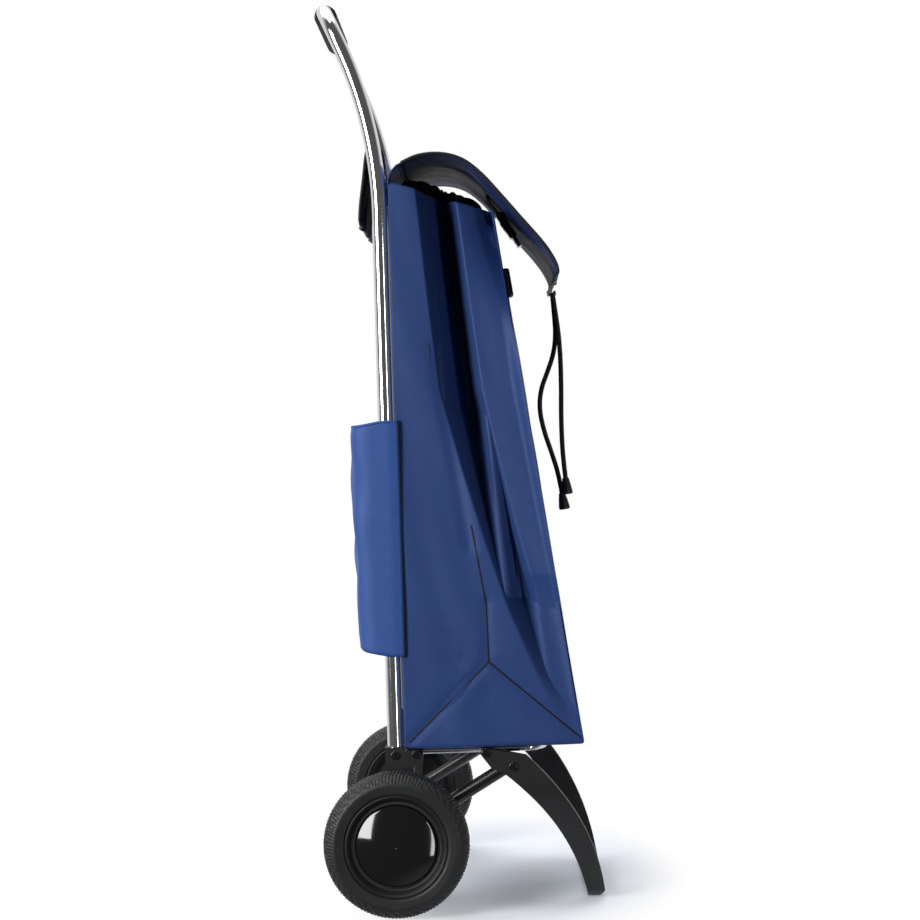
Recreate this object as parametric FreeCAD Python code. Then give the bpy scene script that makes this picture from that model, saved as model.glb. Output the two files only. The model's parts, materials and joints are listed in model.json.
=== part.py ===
"""Two-wheel shopping trolley: tube frame, fold-up platform with a stand, wheels and fabric bag.

Millimetres, +Z up, +X to the trolley's front, origin on the floor under the middle of its box.
The frame leans back about the axle.  Pieces that follow the lean are drawn upright, with the
axle's centre as origin (u forward, y sideways, h up along the tubes), and are put in place by
leaned().  Wheels and stand are drawn with the axle's centre as origin and only moved.
"""
import FreeCAD, Part
import os
from math import acos, atan, cos, degrees, hypot, pi, radians, sin, tan

os.makedirs("parts", exist_ok=True)
V = FreeCAD.Vector
X_DIR, Y_DIR, Z_DIR = V(1, 0, 0), V(0, 1, 0), V(0, 0, 1)
SIDES = {"left": 1, "right": -1}

# ---- driving dimensions -------------------------------------------------------------------
wheel_radius = 83.0          # tyre, to the floor
tyre_width = 40.0
rim_radius = 58.0            # tyre's seat
hub_face = 12.0              # hub's outer end, from the middle of the wheel
wheel_web = 8.0
cap_radius = 45.8
cap_wall = 2.0
cap_dome = 10.0              # height of the cap's dome
tread_round = 7.0
wheel_gap = 3.0              # between tyre and socket
axle_x = -70.0               # axle behind the middle of the trolley
axle_radius = 5.0
bush_wall = 2.5
washer_radius = 11.0
washer_thickness = 1.0
clip_radius = 8.5
clip_thickness = 1.6
lean = 1.72                  # degrees the frame leans back

tube_radius = 8.75           # handle tube
tube_wall = 1.5
tube_offset = 152.0          # tube centre from the middle of the trolley
tube_foot = 30.0             # tube's lower end above the axle
bend_start = 718.0           # where the tubes begin to bend back
bend_radius = 480.0
bend_angle = 23.5            # degrees
neck_length = 50.0           # straight from the bend to the top bar
corner_radius = 45.0         # corners of the handle
grip_length = 190.0
grip_wall = 4.5
crossbar_rise = 66.5         # crossbar above the start of the bend
crossbar_radius = 8.0

socket_cheek = 1.25          # socket's wall beside the tube
socket_wall = 2.75           # and in front of and behind it
socket_rise = 4.0            # socket's top above the platform
socket_screw_drop = 9.0      # tube's screw below the socket's top
running_gap = 0.4            # between faces that move past each other
fit_gap = 0.05               # radial play of a pivot
seat_gap = 0.3               # soft part above a moving part

rod_radius = 4.0             # platform's rod
platform_height = 97.4       # h of the rods' middle
hinge_u = 24.1               # hinge at the sockets
hinge_drop = 0.6             # below the rods' middle
pivot_u = 103.2              # pivot that carries the stand
pivot_drop = 2.0
sleeve_radius = 4.4          # tubes across the platform that its pivots run in
rod_gap = 0.5                # between side rods and sockets
platform_front = 171.0       # u of the front rod
platform_corner = 25.0
cross_rod_radius = 3.0
cross_rod_places = (62.0, 138.0)
screw_radius = 2.0
screw_head_radius = 5.0
screw_head_height = 2.5

strut_u = 134.3              # pivot between strut and stand
strut_drop = 18.5            # below the rods' middle
strut_radius = 8.0
strut_wall = 1.5
strut_inset = 7.5            # strut inside the side rod
strut_boss_radius = 9.0

stand_plate_gap = 9.5        # stand's plates outside the side rods
stand_plate = 10.0           # plate's thickness
stand_bar = 15.0             # height of the bar on the floor
stand_draw = 65.0            # each leg comes in this much down to the floor
stand_taper_height = 138.0   # legs draw together below this height above the floor

bag_overhang = 8.0           # bag's side outside the tube's middle
bag_tube_gap = 1.25          # rear panel in front of the tubes
bag_bottom_depth = 208.0
bag_front_slope = 0.1458     # front panel goes back this much per unit of height
mouth_rise = 33.8            # mouth's rear edge above the start of the bend
mouth_fall = 35.8            # mouth's front edge below its rear edge
bag_wall = 2.5
board_thickness = 4.0
board_setback = 32.0         # board's rear edge, clear of the sockets when folded up
collar_height = 40.0
collar_drop = 1.0            # collar's upper edge below the mouth
collar_wall = 2.0
pocket_depth = 50.6
pocket_bottom = 207.0
pocket_top = 479.0
pocket_corner = 26.0
pocket_seam = 4.4            # the pocket's side seams lie this far in front of the rear panel
pocket_tube_gap = 0.6
flap_thickness = 2.5
flap_hang = 80.5             # flap's hem below the crossbar's middle
flap_hang_back = 12.1     # and behind the crossbar's rear
flap_tube_gap = 7.25         # between the flap's edge and the tube
lid_overhang = 2.0           # lid beyond the bag's side
lid_thickness = 2.4
lid_hinge_reach = 11.0       # line that the lid folds up about, in front of the rear panel
lid_hinge_rise = 17.5        # and above the mouth
piping_width = 5.0
piping_thickness = 5.0
webbing_width = 25.0
webbing_thickness = 1.6
bag_strap_top = 81.0         # strap's upper end below the mouth's front edge
bag_strap_length = 60.0
buckle_width = 34.0
buckle_thickness = 9.0
buckle_length = 36.0

cord_radius = 3.0
eyelet_play = 0.2
cord_end_length = 19.0
cord_end_radius = 7.0

# ---- values that follow -------------------------------------------------------------------
axle_place = V(axle_x, 0, wheel_radius)
socket_inner = tube_offset - tube_radius - socket_cheek
socket_outer = tube_offset + tube_radius + socket_cheek
wheel_offset = socket_outer + wheel_gap + tyre_width / 2
hub_inner = -(wheel_offset - socket_outer) + running_gap
bush_radius = axle_radius + bush_wall

platform_top = platform_height + rod_radius
platform_offset = socket_inner - rod_gap - rod_radius
platform_hinge = (hinge_u, platform_height - hinge_drop)
stand_pivot = (pivot_u, platform_height - pivot_drop)
strut_pivot = (strut_u, platform_height - strut_drop)
socket_top = platform_top + socket_rise
strut_offset = platform_offset - strut_inset
plate_inner = platform_offset + stand_plate_gap
plate_outer = plate_inner + stand_plate
stand_foot_half = plate_outer - stand_draw

bag_rear = tube_radius + bag_tube_gap
bag_bottom = platform_top + seat_gap
bag_half_width = tube_offset + bag_overhang
bag_mouth_rear = bend_start + mouth_rise
bag_mouth_front = bag_mouth_rear - mouth_fall
crossbar_height = bend_start + crossbar_rise
board_rear = bag_rear + board_setback
flap_half_width = tube_offset - tube_radius - flap_tube_gap
lid_half_width = bag_half_width + lid_overhang
lid_hinge = (bag_rear + lid_hinge_reach, bag_mouth_rear + lid_hinge_rise)


# ---- helpers ------------------------------------------------------------------------------
def save(name, *solids):
    shape = solids[0] if len(solids) == 1 else Part.makeCompound(list(solids))
    shape.exportStep("parts/" + name + ".step")


def on_axle(shape):
    """Move a piece drawn about the axle's centre to its place."""
    placed = shape.copy()
    placed.translate(axle_place)
    return placed


def leaned(shape):
    """Lean a piece back with the frame, then move it to its place."""
    turned = shape.copy()
    turned.rotate(V(0, 0, 0), Y_DIR, -lean)
    return on_axle(turned)


def leaned_point(u, h):
    """Point of the leaning frame, measured from the axle in level axes."""
    a = radians(lean)
    return V(u * cos(a) - h * sin(a), 0, u * sin(a) + h * cos(a))


def at(u, y, h):
    return V(u, y, h)


def cross_cylinder(radius, u, h, y_from, y_to):
    """Cylinder across the trolley, from y_from to y_to."""
    low, high = min(y_from, y_to), max(y_from, y_to)
    return Part.makeCylinder(radius, high - low, at(u, low, h), Y_DIR)


def box(u0, u1, y0, y1, h0, h1):
    return Part.makeBox(u1 - u0, y1 - y0, h1 - h0, at(u0, y0, h0))


def rounded_wire(points, radii):
    """Wire of straight runs through points, with an arc of the given radius at each inner point."""
    edges, start = [], points[0]
    for before, corner, after, radius in zip(points, points[1:], points[2:], radii):
        back = (before - corner).normalize()
        ahead = (after - corner).normalize()
        half = acos(max(-1.0, min(1.0, back.dot(ahead)))) / 2
        reach = radius / tan(half)
        middle = (back + ahead).normalize() * (radius / sin(half) - radius)
        arc_start, arc_end = corner + back * reach, corner + ahead * reach
        if (arc_start - start).Length > 1e-6:
            edges.append(Part.LineSegment(start, arc_start).toShape())
        edges.append(Part.Arc(arc_start, corner + middle, arc_end).toShape())
        start = arc_end
    edges.append(Part.LineSegment(start, points[-1]).toShape())
    return Part.Wire(edges)


def rod(wire, radius):
    """Round bar along a wire."""
    edge = wire.Edges[0]
    start = edge.valueAt(edge.FirstParameter)
    direction = edge.tangentAt(edge.FirstParameter)
    ring = Part.Wire(Part.makeCircle(radius, start, direction))
    return wire.makePipeShell([ring], True, False)


def turned(profile):
    """Solid of revolution about the axle, from (radius, y) points."""
    points = [at(r, y, 0) for r, y in profile]
    face = Part.Face(Part.makePolygon(points + points[:1]))
    return face.revolve(V(0, 0, 0), Y_DIR, 360)


def plate(wire, y_from, y_to):
    """Flat piece with a closed outline in the side view, from y_from to y_to."""
    low, high = min(y_from, y_to), max(y_from, y_to)
    face = Part.Face(wire)
    face.translate(V(0, low, 0))
    return face.extrude(V(0, high - low, 0))


def smooth(points):
    curve = Part.BSplineCurve()
    curve.interpolate(points)
    return curve.toShape()


def ribbon(points, thickness, y_from, y_to):
    """Sheet of even thickness whose middle line in the side view is a curve through (u, h) points."""
    line = smooth([at(u, 0, h) for u, h in points]).Curve
    upper, lower = [], []
    for u, h in points:
        tangent = line.tangent(line.parameter(at(u, 0, h)))[0]
        normal = V(-tangent.z, 0, tangent.x) * (thickness / 2)
        upper.append(at(u, 0, h) + normal)
        lower.append(at(u, 0, h) - normal)
    edges = [smooth(upper), Part.LineSegment(upper[-1], lower[-1]).toShape(),
             smooth(lower), Part.LineSegment(lower[0], upper[0]).toShape()]
    outline = Part.Wire(Part.__sortEdges__(edges))
    return plate(outline, y_from, y_to)


def mirrored(shape):
    return shape.mirror(V(0, 0, 0), Y_DIR)


def both_sides(shape):
    return [shape, mirrored(shape)]


# ---- tube frame ---------------------------------------------------------------------------
def handle_points():
    """Corner and end points of one half of the handle, beyond the straight leg."""
    a = radians(bend_angle)
    neck = (-bend_radius * (1 - cos(a)), bend_start + bend_radius * sin(a))
    top = (neck[0] - neck_length * sin(a), neck[1] + neck_length * cos(a))
    return neck, top


def handle_wire():
    """Middle line of the handle tube: up the left leg, across the top and down the right leg."""
    a = radians(bend_angle)
    neck, top = handle_points()
    y = tube_offset
    half_way = at(-bend_radius * (1 - cos(a / 2)), y, bend_start + bend_radius * sin(a / 2))
    along = V(-sin(a), 0, cos(a))
    corner = at(top[0], y, top[1])
    leg_end = corner - along * corner_radius
    centre = corner - along * corner_radius - V(0, corner_radius, 0)
    middle = centre + (along + Y_DIR).normalize() * corner_radius
    bar_start = corner - V(0, corner_radius, 0)
    left = [Part.LineSegment(at(0, y, tube_foot), at(0, y, bend_start)).toShape(),
            Part.Arc(at(0, y, bend_start), half_way, at(neck[0], y, neck[1])).toShape(),
            Part.LineSegment(at(neck[0], y, neck[1]), leg_end).toShape(),
            Part.Arc(leg_end, middle, bar_start).toShape()]
    right = [mirrored(edge) for edge in left]
    bar = Part.LineSegment(bar_start, V(bar_start.x, -bar_start.y, bar_start.z)).toShape()
    return Part.Wire(Part.__sortEdges__(left + [bar] + right))


def make_frame():
    wire = handle_wire()
    solid_tube = rod(wire, tube_radius)
    tube = solid_tube.cut(rod(wire, tube_radius - tube_wall))
    save("handle_tube", leaned(tube))

    top_u, top_h = handle_points()[1]
    grip = cross_cylinder(tube_radius + grip_wall, top_u, top_h, -grip_length / 2, grip_length / 2)
    bore = cross_cylinder(tube_radius, top_u, top_h, -grip_length, grip_length)
    save("handle_grip", leaned(grip.cut(bore)))

    drop = crossbar_height - bend_start
    crossbar_u = -(bend_radius - (bend_radius ** 2 - drop ** 2) ** 0.5)
    bar = cross_cylinder(crossbar_radius, crossbar_u, crossbar_height, -tube_offset, tube_offset)
    save("crossbar", leaned(bar.cut(solid_tube)))
    return solid_tube, crossbar_u


def make_sockets(solid_tube):
    lug_u, lug_h = platform_hinge
    half = tube_radius + socket_wall
    front = bag_rear - running_gap
    lug_top = lug_h + sleeve_radius
    boss = 16.0
    waist = 21.0
    outline = [(-half, socket_top), (front, socket_top), (front, lug_top), (lug_u + 3, lug_top),
               (lug_u + 7.5, lug_h), (lug_u + 6.5, lug_h - 6), (waist, lug_h - 14),
               (waist - 1, 40), (boss, 0), (-boss, 0), (-half, 40), (-half, socket_top)]
    profile = Part.makePolygon([at(u, 0, h) for u, h in outline])
    for side, sign in SIDES.items():
        inner, outer = sign * socket_inner, sign * socket_outer
        body = plate(profile, inner, outer)
        body = body.fuse(cross_cylinder(boss, 0, 0, inner, outer)).removeSplitter()
        body = body.cut(solid_tube)
        body = body.cut(cross_cylinder(axle_radius, 0, 0, inner, outer))
        body = body.cut(cross_cylinder(screw_radius, lug_u, lug_h, inner, outer))
        clamp_h = socket_top - socket_screw_drop
        body = body.cut(cross_cylinder(screw_radius, 0, clamp_h, sign * tube_offset, outer))
        save("socket_" + side, leaned(body))


def screw(u, h, y_tip, y_seat):
    """Screw across the trolley: shank from y_tip to y_seat, head outside y_seat."""
    sign = 1 if y_seat > y_tip else -1
    head = cross_cylinder(screw_head_radius, u, h, y_seat, y_seat + sign * screw_head_height)
    head = head.makeFillet(screw_head_height * 0.4, [head.Edges[0 if sign > 0 else 2]])
    return head.fuse(cross_cylinder(screw_radius, u, h, y_tip, y_seat)).removeSplitter()


def make_frame_screws():
    """Pivot screws of the platform, and the screws that hold the tubes in the sockets."""
    depth = 16.0
    hinge = screw(*platform_hinge, socket_inner - depth, socket_outer)
    clamp = screw(0, socket_top - socket_screw_drop, tube_offset + tube_radius, socket_outer)
    save("platform_screws", *[leaned(s) for s in both_sides(hinge)])
    save("socket_screws", *[leaned(s) for s in both_sides(clamp)])


def make_axle():
    washer_start = wheel_offset + hub_face + running_gap
    clip_start = washer_start + washer_thickness
    end = clip_start + clip_thickness
    save("axle", leaned(cross_cylinder(axle_radius, 0, 0, -end, end)))
    spacer_end = strut_offset - strut_radius - running_gap
    spacer = cross_cylinder(strut_boss_radius, 0, 0, -spacer_end, spacer_end)
    save("axle_spacer", leaned(spacer.cut(cross_cylinder(axle_radius, 0, 0, -end, end))))
    washer = turned([(axle_radius, washer_start), (washer_radius, washer_start),
                     (washer_radius, clip_start), (axle_radius, clip_start)])
    clip = turned([(axle_radius, clip_start), (clip_radius, clip_start),
                   (clip_radius, end - 0.6), (axle_radius, end)])
    save("axle_washers", *[leaned(s) for s in both_sides(washer)])
    save("axle_clips", *[leaned(s) for s in both_sides(clip)])


# ---- wheels -------------------------------------------------------------------------------
def make_wheels():
    half, web, face = tyre_width / 2, wheel_web / 2, hub_face
    dome = cap_dome
    tyre = turned([(rim_radius, -half + 2), (wheel_radius - 9, -half), (wheel_radius, -half + 8),
                   (wheel_radius, half - 8), (wheel_radius - 9, half), (rim_radius, half - 2)])
    corner_edges = [e for e in tyre.Edges
                    if abs(e.BoundBox.XMax - wheel_radius) < 0.01 and e.Length > wheel_radius]
    tyre = tyre.makeFillet(tread_round, corner_edges)
    rim = turned([(bush_radius, hub_inner), (13, hub_inner), (15, -web), (cap_radius + 1, -web),
                  (cap_radius + 3, -face + 1), (rim_radius, -half + 3), (rim_radius, half - 3),
                  (cap_radius + 3, face - 1), (cap_radius + 0.4, web), (15, web), (13, face),
                  (bush_radius, face)])
    bush = turned([(axle_radius + fit_gap, hub_inner), (bush_radius, hub_inner),
                   (bush_radius, face), (axle_radius + fit_gap, face)])
    # domed cap: a slice of a sphere over a short skirt, hollow behind
    sphere_radius = (cap_radius ** 2 + dome ** 2) / (2 * dome)
    centre = face + dome - sphere_radius

    def dome_solid(shrink):
        ball = Part.makeSphere(sphere_radius - shrink)
        ball.translate(V(0, centre, 0))
        return ball.common(cross_cylinder(cap_radius - shrink, 0, 0, web, face + dome + 1))

    cap = dome_solid(0).cut(dome_solid(cap_wall))
    for side, sign in SIDES.items():
        for name, shape in (("tyre", tyre), ("rim", rim), ("bush", bush), ("hubcap", cap)):
            piece = shape.copy()
            piece.translate(V(0, wheel_offset, 0))
            piece = piece if sign > 0 else mirrored(piece)
            save(name + "_" + side, on_axle(piece))


# ---- platform, struts and stand -----------------------------------------------------------
def make_platform():
    hinge_u, hinge_h = platform_hinge
    y, front = platform_offset, platform_front
    rod_h = platform_height
    points = [at(hinge_u + 1, y, rod_h), at(front, y, rod_h), at(front, -y, rod_h),
              at(hinge_u + 1, -y, rod_h)]
    loop = rod(rounded_wire(points, [platform_corner] * 2), rod_radius)
    hinge_end = socket_inner - running_gap
    pivot_end = plate_inner - running_gap
    sleeves = [cross_cylinder(sleeve_radius, hinge_u, hinge_h, -hinge_end, hinge_end),
               cross_cylinder(sleeve_radius, *stand_pivot, -pivot_end, pivot_end)]
    for sleeve in sleeves:
        loop = loop.cut(sleeve)
    bore_radius = screw_radius + fit_gap
    bores = [cross_cylinder(bore_radius, hinge_u, hinge_h, -hinge_end, hinge_end),
             cross_cylinder(bore_radius, *stand_pivot, -pivot_end, pivot_end)]
    sleeves = [sleeve.cut(bore) for sleeve, bore in zip(sleeves, bores)]
    cross_h = platform_top - cross_rod_radius
    cross_rods = [cross_cylinder(cross_rod_radius, u, cross_h, -y, y).cut(loop)
                  for u in cross_rod_places]
    save("platform_loop", leaned(loop))
    save("platform_sleeves", *[leaned(s) for s in sleeves])
    save("platform_cross_rods", *[leaned(s) for s in cross_rods])


def make_struts():
    u, h = strut_pivot
    length = hypot(u, h)
    direction = V(u / length, 0, h / length)
    y = strut_offset
    inner, outer = y - strut_radius, y + strut_radius
    tube = Part.makeCylinder(strut_radius - 0.2, length, at(0, y, 0), direction)
    core = Part.makeCylinder(strut_radius - strut_wall, length, at(0, y, 0), direction)
    foot = cross_cylinder(strut_boss_radius, 0, 0, inner, outer)
    head = cross_cylinder(strut_boss_radius, u, h, inner, plate_inner - running_gap)
    strut = tube.cut(core).fuse([foot, head]).removeSplitter()
    strut = strut.cut(cross_cylinder(axle_radius + fit_gap, 0, 0, inner, outer))
    save("strut_left", leaned(strut))
    save("strut_right", leaned(mirrored(strut)))


def arc_edge(a, b, c):
    return Part.Arc(at(*a), at(*b), at(*c)).toShape()


def make_stand():
    """Stand: curved legs in the side view, a U in the front view, plates round the pivots."""
    floor = -wheel_radius
    pivot = leaned_point(*stand_pivot)
    joint = leaned_point(*strut_pivot)
    ear = platform_top - stand_pivot[1] - seat_gap
    toe = (joint.x + 108.5, 0, floor + 10.0)
    heel = (toe[0] - 19.2, 0, floor)
    outer_top = (joint.x + 15.0, 0, pivot.z - 3.0)
    outer_mid = (joint.x + 71.0, 0, floor + 113.0)
    inner_top = (joint.x - 8.4, 0, joint.z - 9.5)
    inner_mid = (joint.x + 49.0, 0, floor + 96.0)
    rear_ear = (pivot.x - 6.5, 0, pivot.z - 1.0)
    edges = [arc_edge(outer_top, outer_mid, toe),
             Part.LineSegment(at(*toe), at(toe[0] - 7.0, 0, floor)).toShape(),
             Part.LineSegment(at(toe[0] - 7.0, 0, floor), at(*heel)).toShape(),
             arc_edge(heel, inner_mid, inner_top),
             Part.LineSegment(at(*inner_top), at(pivot.x + 7.0, 0, pivot.z - 18.0)).toShape(),
             Part.LineSegment(at(pivot.x + 7.0, 0, pivot.z - 18.0), at(*rear_ear)).toShape(),
             Part.LineSegment(at(*rear_ear), at(pivot.x - 2.0, 0, pivot.z + ear)).toShape(),
             Part.LineSegment(at(pivot.x - 2.0, 0, pivot.z + ear), at(*outer_top)).toShape()]
    side_view = plate(Part.Wire(edges), -plate_outer, plate_outer)

    def front_outline(half_top, half_foot, low):
        top = wheel_radius + 150
        taper = floor + stand_taper_height
        points = [V(0, half_top, top), V(0, half_top, taper), V(0, half_foot, low),
                  V(0, -half_foot, low), V(0, -half_top, taper), V(0, -half_top, top)]
        radii = [60.0, 28.0, 28.0, 60.0]
        wire = rounded_wire(points, radii)
        closing = Part.LineSegment(points[-1], points[0]).toShape()
        face = Part.Face(Part.Wire(wire.Edges + [closing]))
        return face.extrude(V(400, 0, 0))

    band = front_outline(plate_outer, stand_foot_half, floor)
    band = band.cut(front_outline(plate_inner, stand_foot_half - stand_plate * 0.9,
                                  floor + stand_bar))
    stand = side_view.common(band)
    bores = [cross_cylinder(screw_radius, p.x, p.z, -plate_outer, plate_outer)
             for p in (pivot, joint)]
    for bore in bores:
        stand = stand.cut(bore)
    save("stand", on_axle(stand.removeSplitter()))

    depth = 14.0
    pivot_screw = screw(pivot.x, pivot.z, plate_inner - depth, plate_outer)
    joint_screw = screw(joint.x, joint.z, plate_inner, plate_outer)
    screws = both_sides(pivot_screw) + both_sides(joint_screw)
    save("stand_screws", *[on_axle(s) for s in screws])


# ---- bag ----------------------------------------------------------------------------------
def front_u(h):
    """Place of the front panel at height h."""
    return bag_rear + bag_bottom_depth - bag_front_slope * (h - bag_bottom)


def bag_section(h, inset, rear_radius=3.0, front_radius=14.0):
    """Level outline of the bag at height h, drawn in by inset."""
    u0 = bag_rear + inset
    u1 = front_u(h) - inset
    y = bag_half_width - inset
    middle = at(u0, 0, h)
    points = [middle, at(u0, y, h), at(u1, y, h), at(u1, -y, h), at(u0, -y, h), middle]
    front = max(front_radius - inset, 1.0)
    rear = max(rear_radius - inset, 0.4)
    return rounded_wire(points, [rear, front, front, rear])


def mouth_height(u):
    """Height of the mouth's plane at u."""
    return bag_mouth_rear - mouth_fall * (u - bag_rear) / (front_u(bag_mouth_front) - bag_rear)


def below_mouth(rise):
    """Everything under the mouth's plane lifted by rise."""
    u0, u1, low = bag_rear - 60, bag_rear + bag_bottom_depth + 60, bag_bottom - 10
    points = [at(u0, 0, low), at(u1, 0, low), at(u1, 0, mouth_height(u1) + rise),
              at(u0, 0, mouth_height(u0) + rise), at(u0, 0, low)]
    return plate(Part.makePolygon(points), -bag_half_width - 20, bag_half_width + 20)


def bag_block(low, high, inset):
    return Part.makeLoft([bag_section(low, inset), bag_section(high, inset)], True)


def make_bag():
    high = bag_mouth_rear + 60
    outside = bag_block(bag_bottom, high, 0)
    inside = bag_block(bag_bottom + bag_wall, high, bag_wall)
    save("bag", leaned(outside.cut(inside).common(below_mouth(0))))

    board_low = bag_bottom + bag_wall + seat_gap
    board = bag_block(board_low, board_low + board_thickness, bag_wall + 1)
    behind = box(0, board_rear, -bag_half_width, bag_half_width, 0, bag_mouth_rear)
    save("base_board", leaned(board.cut(behind)))

    band_outer = bag_block(bag_mouth_front - 80, high, bag_wall + 0.1)
    band_inner = bag_block(bag_mouth_front - 80, high, bag_wall + 0.1 + collar_wall)
    band = band_outer.cut(band_inner).common(below_mouth(-collar_drop))
    save("collar", leaned(band.cut(below_mouth(-collar_drop - collar_height))))


def make_pocket():
    """Pocket round the back of the tubes: rear wall, two sides and a floor with holes."""
    rear = bag_rear - pocket_depth
    seam = bag_rear + pocket_seam
    widest = tube_offset + tube_radius + pocket_tube_gap + bag_wall

    def block(inset, low, high, corner):
        wide, narrow = widest - inset, bag_half_width + bag_wall - inset
        points = [at(seam, narrow, low), at(0, wide, low), at(rear + inset, wide, low),
                  at(rear + inset, -wide, low), at(0, -wide, low), at(seam, -narrow, low)]
        wire = rounded_wire(points, [30.0, corner, corner, 30.0])
        closing = Part.LineSegment(points[-1], points[0]).toShape()
        return Part.Face(Part.Wire(wire.Edges + [closing])).extrude(V(0, 0, high - low))

    shell = block(0, pocket_bottom, pocket_top, pocket_corner)
    hollow = block(bag_wall, pocket_bottom + bag_wall, pocket_top, pocket_corner - bag_wall)
    shell = shell.cut(hollow).cut(bag_block(bag_bottom, bag_mouth_rear, 0))
    for sign in SIDES.values():
        hole = Part.makeCylinder(tube_radius, 4 * bag_wall,
                                 at(0, sign * tube_offset, pocket_bottom - bag_wall))
        shell = shell.cut(hole)
    save("rear_pocket", leaned(shell))


def make_flap(crossbar_u):
    """Fabric from the rear panel over the crossbar, hanging behind it."""
    wrap = crossbar_radius + 0.5 + flap_thickness / 2
    panel_u = bag_rear - flap_thickness / 2 - 0.2
    points = [(panel_u, bag_mouth_rear - 26), (panel_u, bag_mouth_rear - 12),
              (panel_u - 1, bag_mouth_rear + 8)]
    for angle in (0, 45, 90, 135, 180):
        a = radians(angle)
        points.append((crossbar_u + wrap * cos(a), crossbar_height + wrap * sin(a)))
    behind = crossbar_u - wrap
    points += [(behind - 4, crossbar_height - 25), (behind - 9, crossbar_height - 59.5),
               (behind - flap_hang_back, crossbar_height - flap_hang)]
    save("rear_flap", leaned(ribbon(points, flap_thickness, -flap_half_width, flap_half_width)))


def lid_line():
    """Middle line of the lid in the side view, from its fold line to the front hem.

    Its rear points are placed from the fold line, the others from the mouth's front edge.
    """
    hinge, front = lid_hinge, (front_u(bag_mouth_front), bag_mouth_front)
    rear_part = [(0.87, 0.5), (11.0, 6.3), (25.0, 10.5), (51.0, 12.0)]
    front_part = [(-32.435, 58.3), (-11.435, 41.8), (10.565, 16.8), (32.565, -9.7), (55.565, -37.2),
                  (67.565, -55.2), (73.065, -68.2), (73.065, -77.2), (70.065, -82.2)]
    return ([(hinge[0] + u, hinge[1] + h) for u, h in rear_part]
            + [(front[0] + u, front[1] + h) for u, h in front_part])


def make_lid():
    root_line = [(bag_rear + bag_wall / 2, bag_mouth_rear - 24),
                 (bag_rear + bag_wall / 2 + 0.3, bag_mouth_rear - 4),
                 (bag_rear + 4.6, bag_mouth_rear + 9.5), lid_hinge]
    root = ribbon(root_line, lid_thickness * 0.6, -lid_half_width, lid_half_width)
    outside = bag_block(bag_bottom, bag_mouth_rear + 60, 0).common(below_mouth(0))
    save("lid_root", leaned(root.cut(outside)))

    line = lid_line()
    lid = ribbon(line, lid_thickness, -lid_half_width, lid_half_width)
    edge = ribbon(line, piping_thickness, lid_half_width, lid_half_width + piping_width)
    hem_u, hem_h = line[-1]
    hem = cross_cylinder(piping_thickness * 0.7, hem_u - 1.0, hem_h - 3.4, -lid_half_width,
                         lid_half_width)
    hem = hem.cut(lid)
    save("lid", leaned(lid))
    save("lid_piping", *[leaned(s) for s in both_sides(edge) + [hem]])
    return leaned(hem).fuse(leaned(lid))


def buckle_block(u, h, angle, length):
    """Buckle half: rounded block along a slanted strap, starting at (u, h)."""
    block = box(0, length, -buckle_width / 2, buckle_width / 2, -buckle_thickness / 2,
                buckle_thickness / 2)
    block = block.makeFillet(buckle_thickness * 0.4, block.Edges)
    block.rotate(V(0, 0, 0), Y_DIR, angle)
    block.translate(at(u, 0, h))
    return block


def make_straps():
    half = webbing_width / 2
    hang_angle, hang_length = 58.0, 26.0
    start = (front_u(bag_mouth_front) - 5.935, bag_mouth_front + 32.0)
    end = (start[0] + hang_length * cos(radians(hang_angle)),
           start[1] - hang_length * sin(radians(hang_angle)))
    middle = ((start[0] + end[0]) / 2 - 0.6, (start[1] + end[1]) / 2)
    strap = ribbon([start, middle, end], webbing_thickness, -half, half)
    buckle = buckle_block(*end, hang_angle, buckle_length).cut(strap)
    prong_place = [y - 3.5 for y in (-10.0, 0.0, 10.0)]
    prongs = []
    for y in prong_place:
        prong = box(buckle_length - 1, buckle_length + 12, y, y + 7, -2.5, 2.5)
        prong.rotate(V(0, 0, 0), Y_DIR, hang_angle)
        prong.translate(at(end[0], 0, end[1]))
        prongs.append(prong)
    save("lid_strap", leaned(strap))
    save("buckle_male", leaned(buckle.fuse(prongs).removeSplitter()))

    def panel(h, proud):
        return (front_u(h) + proud, h)

    high = bag_mouth_front - bag_strap_top
    low = high - bag_strap_length
    slope = 90 + degrees(atan(bag_front_slope))
    webbing = ribbon([panel(h, webbing_thickness / 2 + 0.1) for h in (low, (low + high) / 2, high)],
                     webbing_thickness, -half, half)
    seat = buckle_thickness / 2 + webbing_thickness + 0.25
    buckle_start = panel(high - 12, seat)
    save("bag_strap", leaned(webbing))
    save("buckle_female", leaned(buckle_block(*buckle_start, -slope, buckle_length)))


# ---- draw cords ---------------------------------------------------------------------------
def cord_wire(points):
    """Straight runs joined by arcs as large as the runs allow; prints the tightest radius."""
    radii = []
    for before, corner, after in zip(points, points[1:], points[2:]):
        run = min((before - corner).Length, (after - corner).Length)
        turn = (corner - before).getAngle(after - corner)
        radii.append(0.45 * run / tan(turn / 2))
    print("cord radii", [round(r) for r in radii])
    return rounded_wire(points, radii)


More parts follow.
